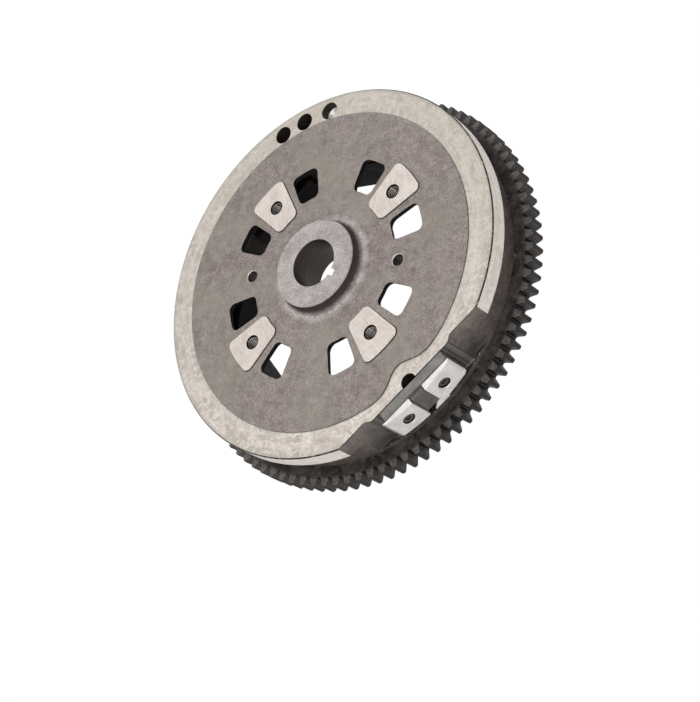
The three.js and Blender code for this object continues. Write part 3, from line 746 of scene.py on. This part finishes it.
GEAR_FINISHES = [
    GEAR_FINISH,
    # Near-black painted shade in the gaps' roots
    bored("gear_tooth_root_painted_shade", 0x0C0A0A, 0x161313),
    hardened_gear("gear_tooth_flank", 0x1E1B1A, 0x2E2A28, 0x5C5754),
    hardened_gear("gear_tooth_edge", 0x403B39, 0x56514E, 0x7E7976),
]
FERRITE_FINISH = ferrite("rim_magnet_ferrite", 0x0E0B0A, 0x171312, 0.08)
PACK_FERRITE_FINISH = ferrite("pack_magnet_ferrite", 0x54524F, 0x6E6C68)
PLATE_FINISH = ground_steel("back_plate_steel", 0x52504D, 0x706E69, 0x908E89, 0.25, (0.55, 0.75), 0.5)
SHOE_FINISH = ground_steel("pole_shoe_steel", 0xA6A3A1, 0xD6D4D2, 0xECEAE8, 0.4, (0.45, 0.6))
SCREW_FINISH = ground_steel("screw_steel", 0x221F1D, 0x3A3633, 0x544F4B, 0.5, (0.3, 0.5))
# The left shoe's chamfer: a darker copy of the shoe's steel, as painted shade
SHOE_CHAMFER_SHADE_FINISH = ground_steel("pole_shoe_chamfer_painted_shade", 0x747269, 0x96948A, 0xB6B4AB, 0.2, (0.5, 0.7))
SHOE_HOLE_FINISH = bored("pole_shoe_bore", 0x1E1B19, 0x302C29)
TAB_FINISH = ground_steel("tab_steel", 0xF4F4F3, 0xFCFCFB, 0xFFFFFE, 0.1, (0.3, 0.45))


# ---- Flywheel casting ----


def casting_outline():
    """The casting's section from the bore's back edge round the hub, rim and face."""
    outline = []

    def stretch(points, region):
        outline.extend((radius, z, region) for radius, z in points)

    # The bore's back edge takes painted shade
    stretch([(BORE_BACK_RADIUS, HUB_BACK_Z + BORE_CHAMFER)], EDGE)
    stretch([(BORE_BACK_RADIUS + BORE_CHAMFER, HUB_BACK_Z)], BORE)
    hub_top = HUB_BACK_RADIUS + HUB_DRAFT
    hub_centre = (HUB_BACK_RADIUS - HUB_END_ROUND, HUB_BACK_Z + HUB_END_ROUND)
    stretch(arc(hub_centre, HUB_END_ROUND, -90, 0, 3), INSIDE)
    stretch(arc((hub_top + HUB_FILLET, WEB_BACK_Z - HUB_FILLET), HUB_FILLET, 180, 90, 8), INSIDE)
    stretch(arc((WEB_OUTER_RADIUS - WEB_FILLET, WEB_BACK_Z - WEB_FILLET), WEB_FILLET, 90, 0, 8), INSIDE)
    stretch([(WEB_OUTER_RADIUS, MAGNET_LEDGE_Z + SEAT_EDGE)], INSIDE)
    stretch([(WEB_OUTER_RADIUS + SEAT_EDGE, MAGNET_LEDGE_Z)], INSIDE)
    stretch([(RIM_INNER_RADIUS, MAGNET_LEDGE_Z), (RIM_INNER_RADIUS, RIM_CHAMFER)], INSIDE)
    stretch([(RIM_INNER_RADIUS + RIM_CHAMFER, 0.0), (RING_SEAT_RADIUS - SEAT_EDGE, 0.0)], BAND)
    stretch([(RING_SEAT_RADIUS, SEAT_EDGE), (RING_SEAT_RADIUS, SHOULDER_Z)], SIDE)
    stretch([(BODY_RADIUS - BODY_EDGE, SHOULDER_Z)], LEDGE)
    stretch([(BODY_RADIUS, SHOULDER_Z + BODY_EDGE)], SIDE)
    cast_centre = (BODY_RADIUS + CAST_FILLET, BAND_BOTTOM_Z - CAST_FILLET)
    stretch(arc(cast_centre, CAST_FILLET, 180, 90, 5), SIDE)
    stretch([(BAND_RADIUS - BAND_CHAMFER, BAND_BOTTOM_Z)], BAND)
    stretch([(BAND_RADIUS, BAND_BOTTOM_Z + BAND_CHAMFER)], BAND)
    stretch([(BAND_RADIUS, BODY_Z - BAND_CHAMFER)], LEDGE)
    stretch([(BAND_RADIUS - BAND_CHAMFER, BODY_Z)], ANNULUS)
    stretch([(ANNULUS_INNER_RADIUS, BODY_Z)], CREASE)
    step_centre = (ANNULUS_INNER_RADIUS - STEP_ROUND, FACE_Z - STEP_ROUND)
    stretch(arc(step_centre, STEP_ROUND, 0, 90, 3), FACE)
    stretch([(radius, FACE_Z) for radius in FACE_RINGS], FACE)
    cove_centre = (BOSS_RADIUS + BOSS_COVE, FACE_Z + BOSS_COVE)
    stretch(arc(cove_centre, BOSS_COVE, 270, 180, 16), FACE)
    stretch(arc((BOSS_RADIUS - BOSS_EDGE, BOSS_Z - BOSS_EDGE), BOSS_EDGE, 0, 90, 4), BOSS)
    stretch([(BORE_FRONT_RADIUS + BORE_CHAMFER, BOSS_Z)], BORE)
    stretch([(BORE_FRONT_RADIUS, BOSS_Z - BORE_CHAMFER)], BORE)
    return outline


def window_cutter():
    """One air window: drafted towards the back, with rounded edges at both faces."""
    levels = [
        (WEB_BACK_Z - 2.0, WINDOW_DRAFT + 2.4, INSIDE),
        (WEB_BACK_Z, WINDOW_DRAFT + 0.6, INSIDE),
        (WEB_BACK_Z + 0.3, WINDOW_DRAFT + 0.2, WALL),
        (WEB_BACK_Z + 0.8, WINDOW_DRAFT, WALL),
        (FACE_Z - WINDOW_EDGE, 0.0, WALL),
        (FACE_Z - WINDOW_EDGE * 0.4, WINDOW_EDGE * 0.25, FACE),
        (FACE_Z, WINDOW_EDGE, FACE),
        (FACE_Z + 0.7, WINDOW_EDGE + 0.9, FACE),
    ]
    return sector_stack(WINDOW_SECTOR, levels)


def fan_pad():
    """A milled pad that stands a little above the face."""
    levels = [
        (FACE_Z - 2.0, 0.35, FACE),
        # The pad's sides take the steps' scale and painted shade
        (FACE_Z, 0.35, CREASE),
        (FACE_Z + 0.3, 0.05, CREASE),
        (PAD_Z - 0.2, 0.0, PAD),
        (PAD_Z, -0.15, PAD),
    ]
    return sector_stack(PAD_SECTOR, levels)


def back_boss(radius):
    """A round boss behind the web, drafted, with a rounded end."""
    end = WEB_BACK_Z - BACK_BOSS_RISE
    levels = [(-0.9, end), (-0.3, end + 0.3), (0.0, end + 1.0)]
    levels += [(0.2, WEB_BACK_Z - 0.8), (0.9, WEB_BACK_Z), (0.9, WEB_BACK_Z + 2.0)]
    return stack([(radius + grow, z) for grow, z in levels], INSIDE)


def thread_cutter():
    """A tapped hole through a pad: the cutter's surface rises and falls along a helix."""
    bottom, top = WEB_BACK_Z - BACK_BOSS_RISE - THREAD_PITCH, PAD_Z + THREAD_PITCH
    rows = int((top - bottom) / THREAD_PITCH * THREAD_ROWS_PER_TURN)
    sections = []
    for row in range(rows + 1):
        z = bottom + (top - bottom) * row / rows
        loop = []
        for i in range(THREAD_SIDES):
            turn = ((z - bottom) / THREAD_PITCH - i / THREAD_SIDES) % 1.0
            crest = min(1.0, max(0.0, 1.7 * abs(2.0 * turn - 1.0) - 0.35))
            radius = THREAD_MINOR_RADIUS + THREAD_DEPTH * (1.0 - crest)
            mouth = THREAD_MINOR_RADIUS + THREAD_DEPTH + PAD_HOLE_CHAMFER - abs(PAD_Z - z)
            mouth = max(mouth, THREAD_MINOR_RADIUS + 0.4 + PAD_HOLE_CHAMFER if z > PAD_Z else 0.0)
            loop.append(polar(max(radius, mouth), 360.0 * i / THREAD_SIDES, z))
        sections.append(loop)
    verts, faces, regions = loft(sections, THREAD)
    # Crests take pale painted glints, and the thread's deeper faces take painted shade
    dark_radius = THREAD_MINOR_RADIUS + THREAD_DEPTH * THREAD_DARK_START
    for k, face in enumerate(faces):
        if sum(verts[index].xy.length for index in face) / len(face) > dark_radius:
            regions[k] = EDGE
    return verts, faces, regions


def drilled(radius, bottom, top, pointed=True, floor=BORE):
    """A drilled hole with a broken edge at the mouth and a drill's cone at the bottom."""
    point = 2 * radius * DRILL_POINT if pointed else 0.0
    mouth = radius + HOLE_EDGE
    profile = [(radius * DRILL_TIP, bottom - point), (radius, bottom), (radius, top - HOLE_EDGE)]
    profile += [(mouth, top), (mouth, top + OVERCUT)]
    return stack(profile, [floor, BORE, BORE, BORE], cap_region=floor)


def through_hole(radius, bottom, top, edge=0.4, mouth=BORE):
    """A hole right through, with both edges broken; the upper edge has its own region."""
    levels = [(bottom - OVERCUT, edge), (bottom, edge), (bottom + edge, 0.0), (top - edge, 0.0)]
    levels += [(top, edge), (top + OVERCUT, edge)]
    return stack([(radius + grow, z) for z, grow in levels], [BORE, BORE, BORE, mouth, BORE])


def keyway_cutter():
    """A broached keyway with slightly rounded corners, through the whole bore."""
    half, corner = KEYWAY_WIDTH / 2, KEYWAY_CORNER
    far = BORE_FRONT_RADIUS + KEYWAY_DEPTH
    loop = [(0.0, -half), *arc((far - corner, -half + corner), corner, -90, 0, 3)]
    loop += [*arc((far - corner, half - corner), corner, 0, 90, 3), (0.0, half)]
    return prism(loop, (HUB_BACK_Z - OVERCUT, BOSS_Z + OVERCUT), BORE)


def lobe_cutter():
    """The turned face's bell-shaped widening round the hole at the seat."""
    rise = ANNULUS_INNER_RADIUS - (SEAT_HOLE_X - LOBE_RADIUS)
    half_width = 3 * LOBE_SPREAD
    loop = []
    for i in range(LOBE_STEPS + 1):
        y = half_width * (2 * i / LOBE_STEPS - 1)
        bell = math.exp(-((y / LOBE_SPREAD) ** 2) / 2)
        loop.append((math.sqrt(ANNULUS_INNER_RADIUS**2 - y**2) - rise * bell, y))
    loop += [(SEAT_HOLE_X, half_width), (SEAT_HOLE_X, -half_width)]
    return prism(loop, (BODY_Z, FACE_Z + 2 * OVERCUT), CREASE, cap_region=ANNULUS)


def corner_rounded(points, radii):
    """A polyline with its inner corners rounded; radii has one value for each point."""
    result = []
    for i, point in enumerate(points):
        here = Vector(point)
        if radii[i] == 0.0:
            result.append(here)
            continue
        back = (Vector(points[i - 1]) - here).normalized() * radii[i]
        forth = (Vector(points[i + 1]) - here).normalized() * radii[i]
        for k in range(CORNER_STEPS + 1):
            t = k / CORNER_STEPS
            result.append((here + back) * (1 - t) ** 2 + here * 2 * t * (1 - t) + (here + forth) * t * t)
    return result


def pocket_wall():
    """The pocket's inner wall in plan: two as-cast flats with the seat between them."""
    end = BAND_RADIUS
    wall = [(FLAT_X, -end), (FLAT_X, -SEAT_HALF_WIDTH - SEAT_SLOPE), (SEAT_X, -SEAT_HALF_WIDTH)]
    wall += [(SEAT_X, SEAT_HALF_WIDTH), (FLAT_X, SEAT_HALF_WIDTH + SEAT_SLOPE), (FLAT_X, end)]
    return corner_rounded(wall, [0.0, FLAT_ROUND, SEAT_ROUND, SEAT_ROUND, FLAT_ROUND, 0.0])


def pocket_cutter():
    """The pocket in the rim, with a cast fillet at its floor and a broken upper edge."""
    wall = pocket_wall()
    far = TIP_RADIUS + 4 * OVERCUT
    levels = [(POCKET_FLOOR_Z + rise, out) for rise, out in FLOOR_FILLET]
    levels += [(BODY_Z - EDGE_BREAK, 0.0), (BODY_Z, -EDGE_BREAK), (FACE_Z + 3 * OVERCUT, -EDGE_BREAK)]
    sections = []
    for z, out in levels:
        loop = [Vector((point.x + out, point.y, z)) for point in wall]
        loop += [Vector((far, BAND_RADIUS, z)), Vector((far, -BAND_RADIUS, z))]
        sections.append(loop)
    verts, faces, regions = loft(sections, FLAT)
    floor_top = levels[1][0] + TOLERANCE
    edge_bottom = BODY_Z - EDGE_BREAK - TOLERANCE
    seat_reach = SEAT_HALF_WIDTH + SEAT_ROUND
    for k, face in enumerate(faces):
        corners = [verts[index] for index in face]
        # The floor takes painted shade, and the upper edge break takes the edges' painted shade
        if all(corner.z < floor_top for corner in corners):
            regions[k] = FLOOR
        elif all(corner.z > edge_bottom for corner in corners):
            regions[k] = EDGE
        elif all(abs(corner.y) < seat_reach and corner.x < far - OVERCUT for corner in corners):
            regions[k] = SEAT
    return verts, faces, regions


def ledge_chamfer():
    """The worn outer edge of the pocket's floor, cut back along an arc; it takes the ledge's painted
    shade and glints.
    """
    reach = math.degrees(math.acos(LEDGE_END_X / BODY_RADIUS))
    angles = [-reach + 2 * reach * i / LEDGE_STEPS for i in range(LEDGE_STEPS + 1)]
    section = [(BODY_RADIUS + out, POCKET_FLOOR_Z + rise) for out, rise in LEDGE_SECTION]
    return loft([[polar(radius, angle, z) for radius, z in section] for angle in angles], LEDGE)


def lying(shape, y, z):
    """A shape built along +Z laid down along +X, with its axis at y and z."""
    return [Vector((v.z, y + v.x, z + v.y)) for v in shape[0]], *shape[1:]


def on_screw_axis(shape, side):
    """A shape built along +Z, along the axis of the pole shoe screw on one side."""
    return turned_shape(lying(shape, PACK_MIDDLE + side * SCREW_OFFSET, SCREW_Z), POCKET_ANGLE)


def at(shape, point):
    """A shape moved."""
    return [v + Vector(point) for v in shape[0]], *shape[1:]


def boss_mark():
    """A shallow round mark left in the boss by the casting's riser pin."""
    profile = [(radius, BOSS_Z + rise) for radius, rise in MARK_PROFILE]
    return at(stack(profile, BOSS, 32), (*MARK_PLACE, 0.0))


def make_casting():
    """The whole iron casting."""
    obj = mesh_object("casting", *lathe(casting_outline()), CASTING_FINISHES)
    pads = joined([turned_shape(fan_pad(), angle) for angle in PAD_ANGLES])
    bosses = [at(back_boss(PAD_BOSS_RADIUS), polar(PAD_HOLE_CIRCLE, angle)) for angle in PAD_ANGLES]
    bosses += [at(back_boss(LOCATING_BOSS_RADIUS), polar(LOCATING_CIRCLE, a)) for a in (0.0, 180.0)]
    combined(obj, "UNION", [pads, joined(bosses)], CASTING_FINISHES)
    windows = [turned_shape(window_cutter(), angle) for angle in WINDOW_ANGLES]
    holes = [at(thread_cutter(), polar(PAD_HOLE_CIRCLE, angle)) for angle in PAD_ANGLES]
    locating = through_hole(LOCATING_RADIUS, WEB_BACK_Z - BACK_BOSS_RISE, FACE_Z, 0.5, PAD)
    holes += [at(locating, polar(LOCATING_CIRCLE, angle)) for angle in (0.0, 180.0)]
    for angle, depth in BALANCE_DRILLINGS:
        floor = FRESH if depth < BALANCE_RADIUS * 2 else BORE
        drilling = drilled(BALANCE_RADIUS, BODY_Z - depth, BODY_Z, floor=floor)
        holes.append(at(drilling, polar(BALANCE_CIRCLE, angle)))
    seat_hole = drilled(SEAT_HOLE_RADIUS, BODY_Z - SEAT_HOLE_DEPTH, FACE_Z)
    seat_hole = turned_shape(at(seat_hole, (SEAT_HOLE_X, 0.0, 0.0)), POCKET_ANGLE)
    screw_hole = drilled(SCREW_CLEARANCE, SCREW_END_X - FIT_GAP, SEAT_X + OVERCUT, pointed=False)
    cuts = [joined(windows), joined(holes), turned_shape(keyway_cutter(), KEYWAY_ANGLE), boss_mark()]
    pocket = [lobe_cutter(), pocket_cutter(), ledge_chamfer()]
    cuts += [turned_shape(shape, POCKET_ANGLE) for shape in pocket]
    cuts += [on_screw_axis(screw_hole, side) for side in (1, -1)]
    combined(obj, "DIFFERENCE", [*cuts, seat_hole], CASTING_FINISHES)
    finished(obj, node="flywheel_casting")


# ---- Starter ring gear ----

# The gear's regions, in the order of its material slots
GEAR_BODY, TOOTH_ROOT, TOOTH_FLANK, TOOTH_EDGE = range(4)


def involute(radius):
    """The involute function of the pressure angle at a radius, in degrees."""
    base = PITCH_RADIUS * math.cos(math.radians(PRESSURE_ANGLE))
    roll = math.sqrt(max((radius / base) ** 2 - 1.0, 0.0))
    return math.degrees(roll - math.atan(roll))


def gear_loop(z, thin=1.0, tip_cut=0.0, root_cut=0.0):
    """All the teeth's outline at one height, thinned and cut back for the bevels at the ends."""
    tip = TIP_RADIUS - tip_cut
    root = ROOT_RADIUS - root_cut
    half_at_pitch = 90.0 / TOOTH_COUNT
    half = [half_at_pitch + involute(PITCH_RADIUS) - involute(radius) for radius in FLANK_RADII]
    gap = 180.0 / TOOTH_COUNT - half[0]
    side = [(root, half[0] + gap * 0.55)]
    for k, radius in enumerate(FLANK_RADII):
        share = thin if k else thin + (1.0 - thin) * 0.25
        side.append((max(min(radius, tip - TOOTH_TIP_ROUND), root), half[k] * share))
    side.append((tip, half[-1] * thin * 0.62))
    loop = []
    for i in range(TOOTH_COUNT):
        middle = FIRST_TOOTH_ANGLE + 360.0 * i / TOOTH_COUNT
        loop += [polar(r, middle - h, z) for r, h in side]
        loop += [polar(tip, middle, z)]
        loop += [polar(r, middle + h, z) for r, h in reversed(side)]
    return loop


def make_ring_gear():
    """The toothed ring: involute teeth with rounded tips and a lead-in bevel on the front ends."""
    bevel = RING_Z - TOOTH_LEAD_IN
    outside = [
        gear_loop(0.0, 0.9, 0.5, 0.1),
        gear_loop(0.5),
        gear_loop(bevel),
        gear_loop(RING_Z - TOOTH_LEAD_IN * 0.4, 0.92, 0.15),
        gear_loop(RING_Z, 0.74, 0.5, 0.15),
    ]
    edge = RING_BORE_CHAMFER
    spokes = [Vector((point.x, point.y, 0.0)).normalized() for point in outside[0]]
    inside = []
    for z, out in [(RING_Z, edge), (RING_Z - edge, 0.0), (edge, 0.0), (0.0, edge)]:
        inside.append([spoke * (RING_BORE_RADIUS + out) + Vector((0.0, 0.0, z)) for spoke in spokes])
    loops = outside + inside
    count = len(loops[0])
    verts = [point for loop in loops for point in loop]
    faces = []
    regions = []
    tooth = count // TOOTH_COUNT
    for k in range(len(loops)):
        faces += ring_faces(k * count, (k + 1) % len(loops) * count, count)
        for i in range(count):
            # Gap roots take painted shade
            region = TOOTH_ROOT if i % tooth in (0, tooth - 2, tooth - 1) else TOOTH_FLANK
            region = TOOTH_EDGE if k == len(outside) - 2 and region == TOOTH_FLANK else region
            regions.append(region if k < len(outside) - 1 else GEAR_BODY)
    obj = mesh_object("ring_gear", verts, faces, regions, GEAR_FINISHES)
    finished(obj, node="starter_ring_gear", sharp=38.0)


# ---- Alternator magnets ----


def make_rim_magnets():
    """Eight block magnets round the inside of the rim, their backs curved to fit it."""
    half = MAGNET_FACE_X * math.tan(math.pi / 8) - MAGNET_SPACING / 2
    back = math.degrees(math.asin(half / MAGNET_BACK_RADIUS))
    loop = [(MAGNET_FACE_X, -half + MAGNET_CORNER), (MAGNET_FACE_X + MAGNET_CORNER, -half)]
    loop += [(p.x, p.y) for p in (polar(MAGNET_BACK_RADIUS, -back + back * i / 8) for i in range(17))]
    loop += [(MAGNET_FACE_X + MAGNET_CORNER, half), (MAGNET_FACE_X, half - MAGNET_CORNER)]
    shape = prism(loop, (MAGNET_LOW.z, MAGNET_HIGH.z), 0)
    for i in range(8):
        turned = turned_shape(shape, MAGNET_FIRST_ANGLE + 45.0 * i)
        obj = mesh_object(f"rim_magnet_{i + 1}", *turned, [FERRITE_FINISH])
        edge_rounded(obj, MAGNET_EDGE)
        finished(obj, node=f"alternator_magnet_{i + 1}")


# ---- Ignition magnet pack ----


# A pole shoe's regions, in the order of its material slots
SHOE_BODY, SHOE_BORE, SHOE_SHADED_CUT = range(3)


def beveled(name, shape, materials, width, **limits):
    """A shape from the pocket's frame as an object with its edges rounded."""
    return edge_rounded(mesh_object(name, *turned_shape(shape, POCKET_ANGLE), materials), width, **limits)


def slab(x_range, y_range, z_range):
    """A rectangular block's loft."""
    (x0, x1), (y0, y1) = x_range, y_range
    corners = [(x0, y0), (x1, y0), (x1, y1), (x0, y1)]
    return prism(corners, z_range, 0)


def make_back_plate():
    """The grey plate between the seat and the pole shoes."""
    shape = slab(PLATE_X, (-PLATE_HALF_WIDTH, PLATE_HALF_WIDTH), (PLATE_LOW.z, PLATE_HIGH.z))
    plate = beveled("back_plate", shape, [PLATE_FINISH], PLATE_EDGE)
    verts, faces, regions = through_hole(SCREW_CLEARANCE, *PLATE_X)
    cuts = [on_screw_axis((verts, faces, [0] * len(regions)), side) for side in (1, -1)]
    combined(plate, "DIFFERENCE", cuts, [PLATE_FINISH])
    finished(plate, node="ignition_back_plate")


def make_pole_shoe(label, side):
    """A pole shoe: flat behind, turned to the wheel's radius outside, counterbored for its screw."""
    near = PACK_MIDDLE + side * SHOE_INNER_OFFSET
    low, high = sorted((near, near + side * SHOE_WIDTH))
    first, last = (math.degrees(math.asin(y / SHOE_RADIUS)) for y in (low, high))
    outer = [polar(SHOE_RADIUS, first + (last - first) * i / 12) for i in range(13)]
    far = outer[-1] if side > 0 else outer[0]
    corner = Vector((far.x - SHOE_CHAMFER[0], far.y))
    far.y -= side * SHOE_CHAMFER[1]
    outer.insert(len(outer) if side > 0 else 0, corner)
    loop = [(SHOE_X, low), *[(p.x, p.y) for p in outer], (SHOE_X, high)]
    verts, faces, regions = prism(loop, (SHOE_LOW.z, SHOE_HIGH.z), SHOE_BODY)
    # Only the left shoe's chamfer takes the darker steel, as painted shade
    for k, face in enumerate(faces):
        if side < 0 and all(verts[i].y < far.y + 0.1 and verts[i].x > SHOE_X + 0.1 for i in face):
            regions[k] = SHOE_SHADED_CUT
    finishes = [SHOE_FINISH, SHOE_HOLE_FINISH, SHOE_CHAMFER_SHADE_FINISH]
    shape = (verts, faces, regions)
    shoe = beveled(f"shoe_{label}", shape, finishes, SHOE_EDGE, segments=3, angle=44.0)
    seat = SCREW_HEAD_RADIUS + FIT_GAP
    step = SCREW_NECK_X - FIT_GAP
    face = math.sqrt(SHOE_RADIUS**2 - (PACK_MIDDLE + side * SCREW_OFFSET) ** 2)
    profile = [(SCREW_CLEARANCE, SHOE_X - OVERCUT), (SCREW_CLEARANCE, step), (seat, step)]
    profile += [(seat, face - 0.45), (seat + 0.7, face + 0.25), (seat + 0.7, face + 2 * OVERCUT)]
    hole = stack(profile, [SHOE_BORE, SHOE_BORE, SHOE_BORE, SHOE_BODY, SHOE_BODY], 40)
    combined(shoe, "DIFFERENCE", [on_screw_axis(hole, side)], finishes)
    finished(shoe, node=f"pole_shoe_{label}")


def make_screw(label, side):
    """A low-head socket screw with a rounded rim and a threaded shank."""
    head = SCREW_HEAD_RADIUS
    profile = [(SCREW_CENTRE, SCREW_END_X), (SCREW_SHANK_RADIUS - 0.5, SCREW_END_X + 0.02)]
    for i in range(SCREW_TURNS):
        x = SCREW_END_X + 0.5 + (SCREW_NECK_X - SCREW_END_X - 2.0) * i / SCREW_TURNS
        profile += [(SCREW_SHANK_RADIUS - 0.3, x), (SCREW_SHANK_RADIUS, x + 0.35)]
    profile += [(SCREW_SHANK_RADIUS, SCREW_NECK_X), (head - 0.1, SCREW_NECK_X)]
    profile += [(head, SCREW_NECK_X + 0.15)]
    profile += arc((head - SCREW_ROUND, SCREW_HEAD_X - SCREW_ROUND), SCREW_ROUND, 0, 90, 4)
    profile += [(SCREW_CENTRE, SCREW_HEAD_X)]
    shape = on_screw_axis(stack(profile, 0, 36), side)
    screw = mesh_object(f"screw_{label}", *shape, [SCREW_FINISH])
    flats = SCREW_SOCKET_RADIUS
    floor = SCREW_HEAD_X - SCREW_SOCKET_DEPTH
    socket = [(flats * 0.2, floor - 0.2), (flats, floor)]
    socket += [(flats, SCREW_HEAD_X - 0.15), (flats + 0.35, SCREW_HEAD_X + 0.2)]
    combined(screw, "DIFFERENCE", [on_screw_axis(stack(socket, 0, 6), side)], [SCREW_FINISH])
    finished(screw, node=f"pole_shoe_screw_{label}")


def make_pack_magnet():
    """The dark magnet block between the shoes."""
    half = SHOE_INNER_OFFSET - PACK_MAGNET_GAP
    widths = (PACK_MIDDLE - half, PACK_MIDDLE + half)
    heights = (PACK_MAGNET_LOW.z, PACK_MAGNET_HIGH.z)
    shape = slab((SHOE_X, SHOE_X + PACK_MAGNET_PROUD), widths, heights)
    block = beveled("pack_magnet", shape, [PACK_FERRITE_FINISH], PACK_MAGNET_EDGE)
    finished(block, node="ignition_magnet")


def make_tab():
    """The thin bright tab below the magnet."""
    bottom, top = TAB_LOW.z, TAB_HIGH.z
    offset = PACK_MIDDLE + SHOE_INNER_OFFSET
    plan = [(offset - TAB_POINT_REACH, bottom), (offset + TAB_UNDERLAP, bottom)]
    plan += [(offset + TAB_UNDERLAP, top), (offset - TAB_TOP_REACH, top)]
    sections = [[Vector((x, y, z)) for y, z in plan] for x in (SHOE_X, SHOE_X + TAB_THICKNESS)]
    tab = beveled("retaining_tab", loft(sections, 0), [TAB_FINISH], TAB_EDGE)
    finished(tab, node="magnet_retaining_tab")


# ---- Stage, light and camera ----


def make_floor():
    """A plain white floor that gives off its own even light."""
    mesh = bpy.data.meshes.new("floor")
    corners = [(x * FLOOR_REACH, y * FLOOR_REACH) for x, y in ((-1, -1), (1, -1), (1, 1), (-1, 1))]
    mesh.from_pydata([(x, y, -FLOOR_DROP) for x, y in corners], [], [(0, 1, 2, 3)])
    material = bpy.data.materials.new("studio_floor")
    material.use_nodes = True
    shader = material.node_tree.nodes["Principled BSDF"]
    look = {"Base Color": BLACK, "Emission Color": WHITE}
    look |= {"Specular IOR Level": 0.0, "Emission Strength": 1.0}
    for key, value in look.items():
        shader.inputs[key].default_value = value
    mesh.materials.append(material)
    floor = linked("floor", mesh)
    floor.visible_diffuse = False


def make_softbox(name, direction, distance, size, power):
    """A square area light aimed at the wheel's middle."""
    light = bpy.data.lights.new(name, "AREA")
    light.shape = "SQUARE"
    light.size = size
    light.energy = power
    obj = linked(name, light)
    aim = Vector(direction).normalized()
    middle = Vector((0.0, 0.0, BODY_Z * MM))
    obj.location = middle + aim * distance
    obj.rotation_mode = "QUATERNION"
    obj.rotation_quaternion = aim.to_track_quat("Z", "Y")


def make_world():
    """A pale, even surround."""
    world = bpy.data.worlds.new("studio")
    world.use_nodes = True
    background = world.node_tree.nodes["Background"]
    background.inputs["Color"].default_value = WHITE
    background.inputs["Strength"].default_value = WORLD_STRENGTH
    bpy.context.scene.world = world


def make_camera():
    """The camera at the photograph's viewing angle, from its three axes and its place."""
    camera = bpy.data.cameras.new("camera")
    camera.lens = CAMERA_LENS
    camera.sensor_width = SENSOR_WIDTH
    obj = linked("camera", camera)
    right, up = Vector(CAMERA_RIGHT), Vector(CAMERA_UP)
    axes = Matrix((right, up, right.cross(up))).transposed()
    obj.matrix_world = Matrix.Translation(CAMERA_PLACE) @ axes.to_4x4()
    bpy.context.scene.camera = obj


make_casting()
make_ring_gear()
make_rim_magnets()
make_back_plate()
make_pack_magnet()
make_tab()
for shoe_label, shoe_side in (("left", -1), ("right", 1)):
    make_pole_shoe(shoe_label, shoe_side)
    make_screw(shoe_label, shoe_side)

make_floor()
for box_name, box_settings in SOFTBOXES.items():
    make_softbox(box_name, *box_settings)
make_world()
make_camera()
bpy.context.scene.view_settings.view_transform = "Standard"
